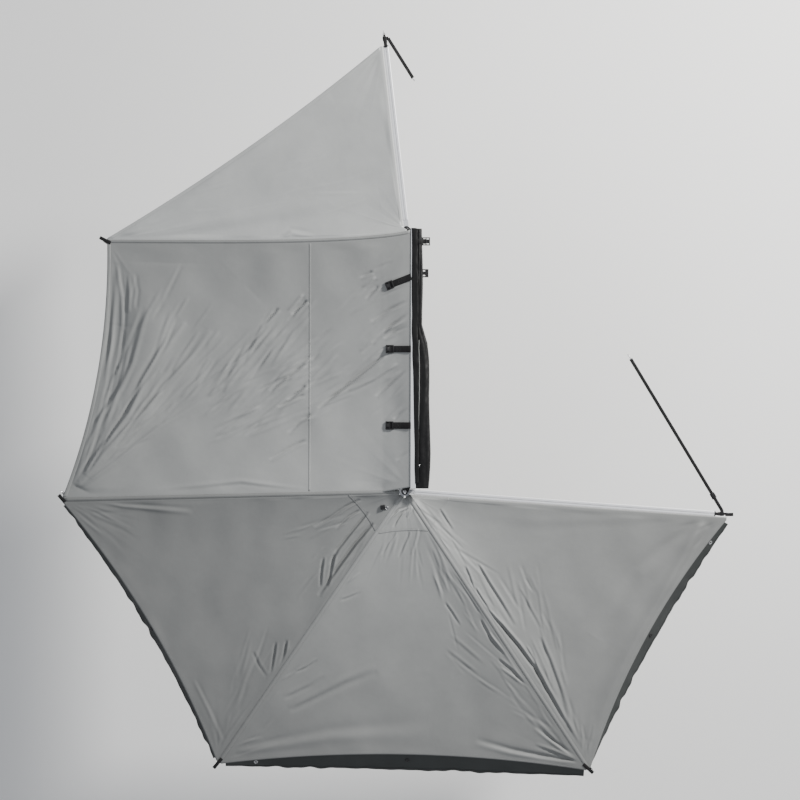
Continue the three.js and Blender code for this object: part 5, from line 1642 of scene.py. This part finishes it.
turns = np.linspace(0, 2 * math.pi, BAG_SIDES, endpoint=False)
bag_rows = np.stack([bag_point(np.full(BAG_SIDES, a), turns) for a in np.linspace(0, 1, BAG_ROWS)])
bag_rows[..., 0] = np.maximum(bag_rows[..., 0], BAG_X)
bag = dress(tube_mesh("bag_cover", bag_rows), BAG, "bag_cloth", "root", ["bag"])

LIP_THICK, LIP_OVER, LIP_TURN, LIP_WAVE = 0.0016, 0.0012, 112, 0.004
LIP_START, LIP_CLEAR = 0.02, 0.002
LIP_EDGE = ((0, 0.20, 0.33, 0.60, 1), (-0.050, -0.056, -0.060, -0.0755, -0.0780))


def lip_grid():
    """The loose lip of the bag's opening: from the bag's top over the rail, widest at the front."""
    along = np.linspace(LIP_START, 1, BAG_ROWS)
    start = bag_point(along, np.full(along.shape, math.radians(LIP_TURN)))
    start[:, 2] = np.maximum(start[:, 2], RAIL_TOP + LIP_CLEAR) + LIP_OVER
    edge = np.interp(along, *LIP_EDGE) + LIP_OVER * np.sin(along * 37 + 2 * np.sin(along * 11))
    end = np.stack([edge, start[:, 1], np.full(along.shape, RAIL_TOP + LIP_OVER)], 1)
    wave = 0.5 + 0.5 * np.sin(along * 41 + 3 * np.sin(along * 13))
    rows = []
    for share in np.linspace(0, 1, 9):
        point = between(start, end, np.full(along.shape, share))
        point[:, 2] += LIP_WAVE * wave * bow(share)
        rows.append(point)
    return np.stack(rows, 1)


dress(sheet_mesh("bag_lip", lip_grid(), LIP_THICK), BAG, "bag_cloth", "root")

PIPING_X = -0.022
PIPING_ENDS = (-0.770, 0.150)
PIPING_RADIUS = 0.0022
PIPING_PROUD = 0.0012
ZIP_PULL_RADIUS, ZIP_PULL_LIFT = 0.008, 0.003
points = []
for y in np.linspace(*PIPING_ENDS, 90):
    along = np.array([(y - RAIL_REAR) / (RAIL_FRONT - RAIL_REAR)])
    lean = 2 * (PIPING_X - BAG_X) / np.interp(along, *BAG_WIDTHS) - 1
    turn = np.arccos(np.clip(np.sign(lean) * np.abs(lean) ** (1 / BAG_SQUARE), -1, 1))
    points.append(bag_point(along, turn)[0] + [0, 0, PIPING_PROUD])
dress(round_mesh("bag_piping", points, PIPING_RADIUS), CANOPY["side"], "canopy_cloth", "root")
pull_at = Matrix.Translation(Vector(points[0]) + Vector((0, 0, ZIP_PULL_LIFT)))
dress(ring_mesh("bag_zip_pull", pull_at, ZIP_PULL_RADIUS, PIPING_RADIUS), STEEL, "bright_steel", "root")
print("bag faces:", len(bag.data.polygons))

# %% [markdown]
# ## Storage straps and the bag's strap
# Each storage strap is sewn down at the rail and lies out over the side panel, with an open buckle at
# its end. The bag has a shorter one of the same kind near its front end.

# %% Straps
STRAP_THICK = 0.003
STRAP_WEBBING = STRAP_THICK * 0.8
STORAGE_REACH = 0.178
STORAGE_WIDTH = 0.048
STORAGE_REST = 0.002
STORAGE_CLEAR, STORAGE_PROBE = 0.0042, 0.02
STORAGE_DRAPE = 9
STORAGE = {"front": (0.612, 0.070), "middle": (0.084, 0.0), "rear": (-0.475, 0.0)}
BUCKLE_LENGTH = 0.058
BUCKLE_WIDTH = 0.060
BUCKLE_BAR = 0.008
BUCKLE_LIFT, BAG_BUCKLE_LIFT = 0.001, 0.0005
TONGUE_TILT = math.radians(-9)
BUCKLE_OVERLAP = BUCKLE_LENGTH * 0.42
SEWN_LENGTH, SEWN_WIDTH = 0.030, STORAGE_WIDTH * 0.8
SEWN_LIFT = STRAP_THICK * 0.45
SEWN_PITCH, SEWN_SIZE = 0.004, (0.0028, 0.0009, 0.0008)


def frame_buckle(name, place, length=BUCKLE_LENGTH, width=BUCKLE_WIDTH):
    """A moulded buckle of rounded bars, with a bar across its middle and a release tongue."""
    inner = width - BUCKLE_BAR
    bars = []  # the size, place and bevel of each
    for side in (-1, 1):
        bars.append(((length, BUCKLE_BAR, 0.009), shifted(0, side * inner / 2, 0), 0.002))
        bars.append(((BUCKLE_BAR, inner, 0.0085), shifted(side * (length - BUCKLE_BAR) / 2, 0, 0), 0.002))
    bars.append(((BUCKLE_BAR * 0.8, inner, 0.007), shifted(0, 0, 0.001), 0.0018))
    tongue = shifted(length * 0.24, 0, 0.004) @ Matrix.Rotation(TONGUE_TILT, 4, "Y")
    bars.append(((length * 0.42, width * 0.5, 0.0035), tongue, 0.0015))
    buckle = joined(name, [box_mesh("bar", *bar) for bar in bars])
    buckle.data.transform(place)
    return buckle


def strap_with_buckle(name, route, width, back, overlap, lift, across):
    """Webbing along a route, with a buckle at its end that lies as the last stretch of it does."""
    strap = webbing_mesh(name + "_webbing", route, (0, 1, 0), width, STRAP_WEBBING)
    dress(strap, WEBBING, "webbing", "root", [name])
    along = Vector(np.array(route[-1]) - np.array(route[-back]))
    spot = Vector(route[-1]) - along.normalized() * overlap + Vector((0, 0, lift))
    buckle = frame_buckle(name + "_buckle", strap_frame(spot, along, across))
    dress(buckle, PLASTIC, "black_plastic", "root")


def strap_stitches(name, frame_place):
    """A sewn box with a cross."""
    x, y = SEWN_LENGTH / 2, SEWN_WIDTH / 2
    corners = [(-x, -y), (x, -y), (x, y), (-x, y), (-x, -y), (x, y), (-x, y), (x, -y)]
    points = []
    for (x0, y0), (x1, y1) in zip(corners, corners[1:]):
        for share in np.linspace(0, 1, 12):
            points.append(frame_place @ Vector((x0 + share * (x1 - x0), y0 + share * (y1 - y0), 0)))
    piece = row_of_stitches(name, points, BLACK_THREAD, SEWN_PITCH, SEWN_SIZE)
    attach(piece, "root")


def storage_route(y, skew):
    """Points along a storage strap, from the rail's top down onto the side panel."""
    points = []
    start = RAIL_TOP + GAP + STRAP_THICK / 2
    for share in np.linspace(0, 1, 40):
        x = RAIL_OUTER + STORAGE_REST - share * (STORAGE_REACH + STORAGE_REST)
        here = y - skew * share
        height = start
        if x < RAIL_OUTER:
            drape = (RAIL_OUTER - x) / STORAGE_REACH
            heights = [side_panel.height_at(x, here + d * STORAGE_PROBE) for d in (-1, 0, 1)]
            rest = max(heights) + STORAGE_CLEAR
            height = rest + (start - rest) * math.exp(-drape * STORAGE_DRAPE)
        points.append((x, here, height))
    return points


for place, (y, skew) in STORAGE.items():
    route = storage_route(y, skew)
    name = "storage_strap_" + place
    across = (0, -1, 0)
    strap_with_buckle(name, route, STORAGE_WIDTH, 8, BUCKLE_OVERLAP, BUCKLE_LIFT, across)
    middle = len(route) // 2
    along = np.array(route[middle + 2]) - np.array(route[middle - 2])
    spot = Vector(route[middle]) + Vector((0, 0, SEWN_LIFT))
    strap_stitches(name + "_stitches", strap_frame(spot, along, across))

TOGGLE = at_pixel(383, 508)
TOGGLE_SIZE, TOGGLE_LIFT, TOGGLE_TURN = (0.034, 0.032), 0.009, 0.1
TOGGLE_RING, TOGGLE_RING_AT = (0.009, 0.0028), (0.030, -0.004, -0.002)
toggle_at = Vector((*TOGGLE, PANELS["rear_left"].height_at(*TOGGLE) + TOGGLE_LIFT))
turned = Matrix.Translation(toggle_at) @ Matrix.Rotation(TOGGLE_TURN, 4, "Z")
toggle = frame_buckle("hub_toggle", turned, *TOGGLE_SIZE)
fold_with(dress(toggle, PLASTIC, "black_plastic"), "rear_left")
loop_at = Matrix.Translation(toggle_at + Vector(TOGGLE_RING_AT))
loop = ring_mesh("hub_toggle_ring", loop_at, *TOGGLE_RING)
fold_with(dress(loop, STEEL, "bright_steel"), "rear_left")

BAG_STRAP_Y = 0.872
BAG_STRAP_WIDTH = 0.036
BAG_STRAP_REACH = 0.112
BAG_STRAP_START, BAG_STRAP_BEND, BAG_STRAP_TURN = 0.12, 0.75, 0.96
BAG_STRAP_LOW, BAG_STRAP_CLEAR = 0.012, 0.0045
along_bag = (BAG_STRAP_Y - RAIL_REAR) / (RAIL_FRONT - RAIL_REAR)
route = []
for share in np.linspace(BAG_STRAP_START, 1, 30):
    turn = math.pi * (1 - min(share / BAG_STRAP_BEND, 1) * BAG_STRAP_TURN)
    point = bag_point(np.array([along_bag]), np.array([turn]))[0]
    past = max(0, share - BAG_STRAP_BEND) * BAG_STRAP_REACH
    height = max(point[2], BAG_STRAP_LOW) + BAG_STRAP_CLEAR
    route.append((point[0] + past, BAG_STRAP_Y, height))
strap_with_buckle("bag_strap", route, BAG_STRAP_WIDTH, 6, 0, BAG_BUCKLE_LIFT, (0, 1, 0))
print("straps:", len(STORAGE) + 1)

# %% [markdown]
# ## Finish of the CAD nodes
# The metal and moulded nodes that nothing replaces keep their CAD shape and take a varied material.

# %% Materials of the CAD nodes
NODE_SMOOTH_BELOW = math.radians(35)


def node_material(name):
    """The material of a CAD node, by its name."""
    if name == "rail" or name.endswith("_tube"):
        return ALUMINIUM
    if name.endswith("knuckle"):
        return CAST
    if name.endswith(("ring", "hook")) or name in ("hub_pin", "hub_nut"):
        return STEEL
    if name == "front_pin" or ("bracket" in name and "tip" not in name):
        return BLACK_STEEL
    return PLASTIC


for name, node in nodes.items():
    if not node.hide_render:
        node.data.materials.clear()
        node.data.materials.append(node_material(name))
        node.data.shade_smooth()
        node.data.set_sharp_from_angle(angle=NODE_SMOOTH_BELOW)
print("dressed nodes:", sum(not n.hide_render for n in nodes.values()))

# %% [markdown]
# ## Flat sizes of the sheets
# Each panel and valance is a sheet of cloth. Its flat size is measured on the finished mesh, because the
# cloth is pulled tight and isn't stretched beyond its cut.


def flat_size(piece):
    """Width, length and area of a cloth as it was cut, from its mesh."""
    co = np.array([v.co for v in piece.data.vertices])
    spread = co - co.mean(0)
    axes = np.linalg.svd(spread[::7], full_matrices=False)[2]
    size = np.sort(np.ptp(spread @ axes.T, axis=0))
    return (float(size[1]), float(size[2])), sum(p.area for p in piece.data.polygons) / 2


def declare_sheet(piece):
    """Prints a cloth's flat size and its area, which is at most that of the size."""
    size, area = flat_size(piece)
    area = min(area, size[0] * size[1])
    print(piece.name, "flat", np.round(size, 3), "m, area", round(area, 3), "m2")


for place, piece in canopy.items():
    declare_sheet(piece)
    if place in VALANCES:
        flap, *trimmings = [p for p in on_panel[place] if p.name.startswith("valance")]
        declare_sheet(flap)

# %% [markdown]
# ## Floor and light
# A pale floor lies well below, and soft lights stand above, the strongest from the front right.

# %% Floor, light and world
FLOOR_Z = -2.1
FLOOR_HALF = 30
FLOOR_TONE, SKY_TONE, SKY_POWER = (0.93, 0.93, 0.92, 1), (0.9, 0.93, 1.0, 1), 0.35
floor_mesh = bpy.data.meshes.new("floor")
corners = [(x * FLOOR_HALF, y * FLOOR_HALF, FLOOR_Z) for x, y in ((-1, -1), (1, -1), (1, 1), (-1, 1))]
floor_mesh.from_pydata(corners, [], [(0, 1, 2, 3)])
floor = bpy.data.objects.new("floor", floor_mesh)
scene.collection.objects.link(floor)
floor_paint, _, floor_shader = new_material("floor", 0.9)
floor_shader.inputs["Base Color"].default_value = FLOOR_TONE
floor_mesh.materials.append(floor_paint)

LIGHTS = [
    ("key", (7.5, 6.0, 5.2), 1.6, 2600, (1.0, 0.985, 0.96)),
    ("fill", (-7.0, 2.5, 8.0), 6.0, 160, (0.93, 0.96, 1.0)),
    ("back", (1.0, -8.0, 5.0), 4.0, 120, (0.96, 0.98, 1.0)),
]
for name, place, size, power, tone in LIGHTS:
    lamp_data = bpy.data.lights.new(name, "AREA")
    lamp_data.shape = "DISK"
    lamp_data.size = size
    lamp_data.energy = power
    lamp_data.color = tone
    lamp = bpy.data.objects.new(name, lamp_data)
    lamp.location = place
    lamp.rotation_euler = (Vector((0, 0, 0)) - Vector(place)).to_track_quat("-Z", "Y").to_euler()
    scene.collection.objects.link(lamp)

world = bpy.data.worlds.new("studio")
world.use_nodes = True
sky = world.node_tree.nodes["Background"]
sky.inputs["Color"].default_value = SKY_TONE
sky.inputs["Strength"].default_value = SKY_POWER
scene.world = world
print("lights:", len(LIGHTS))
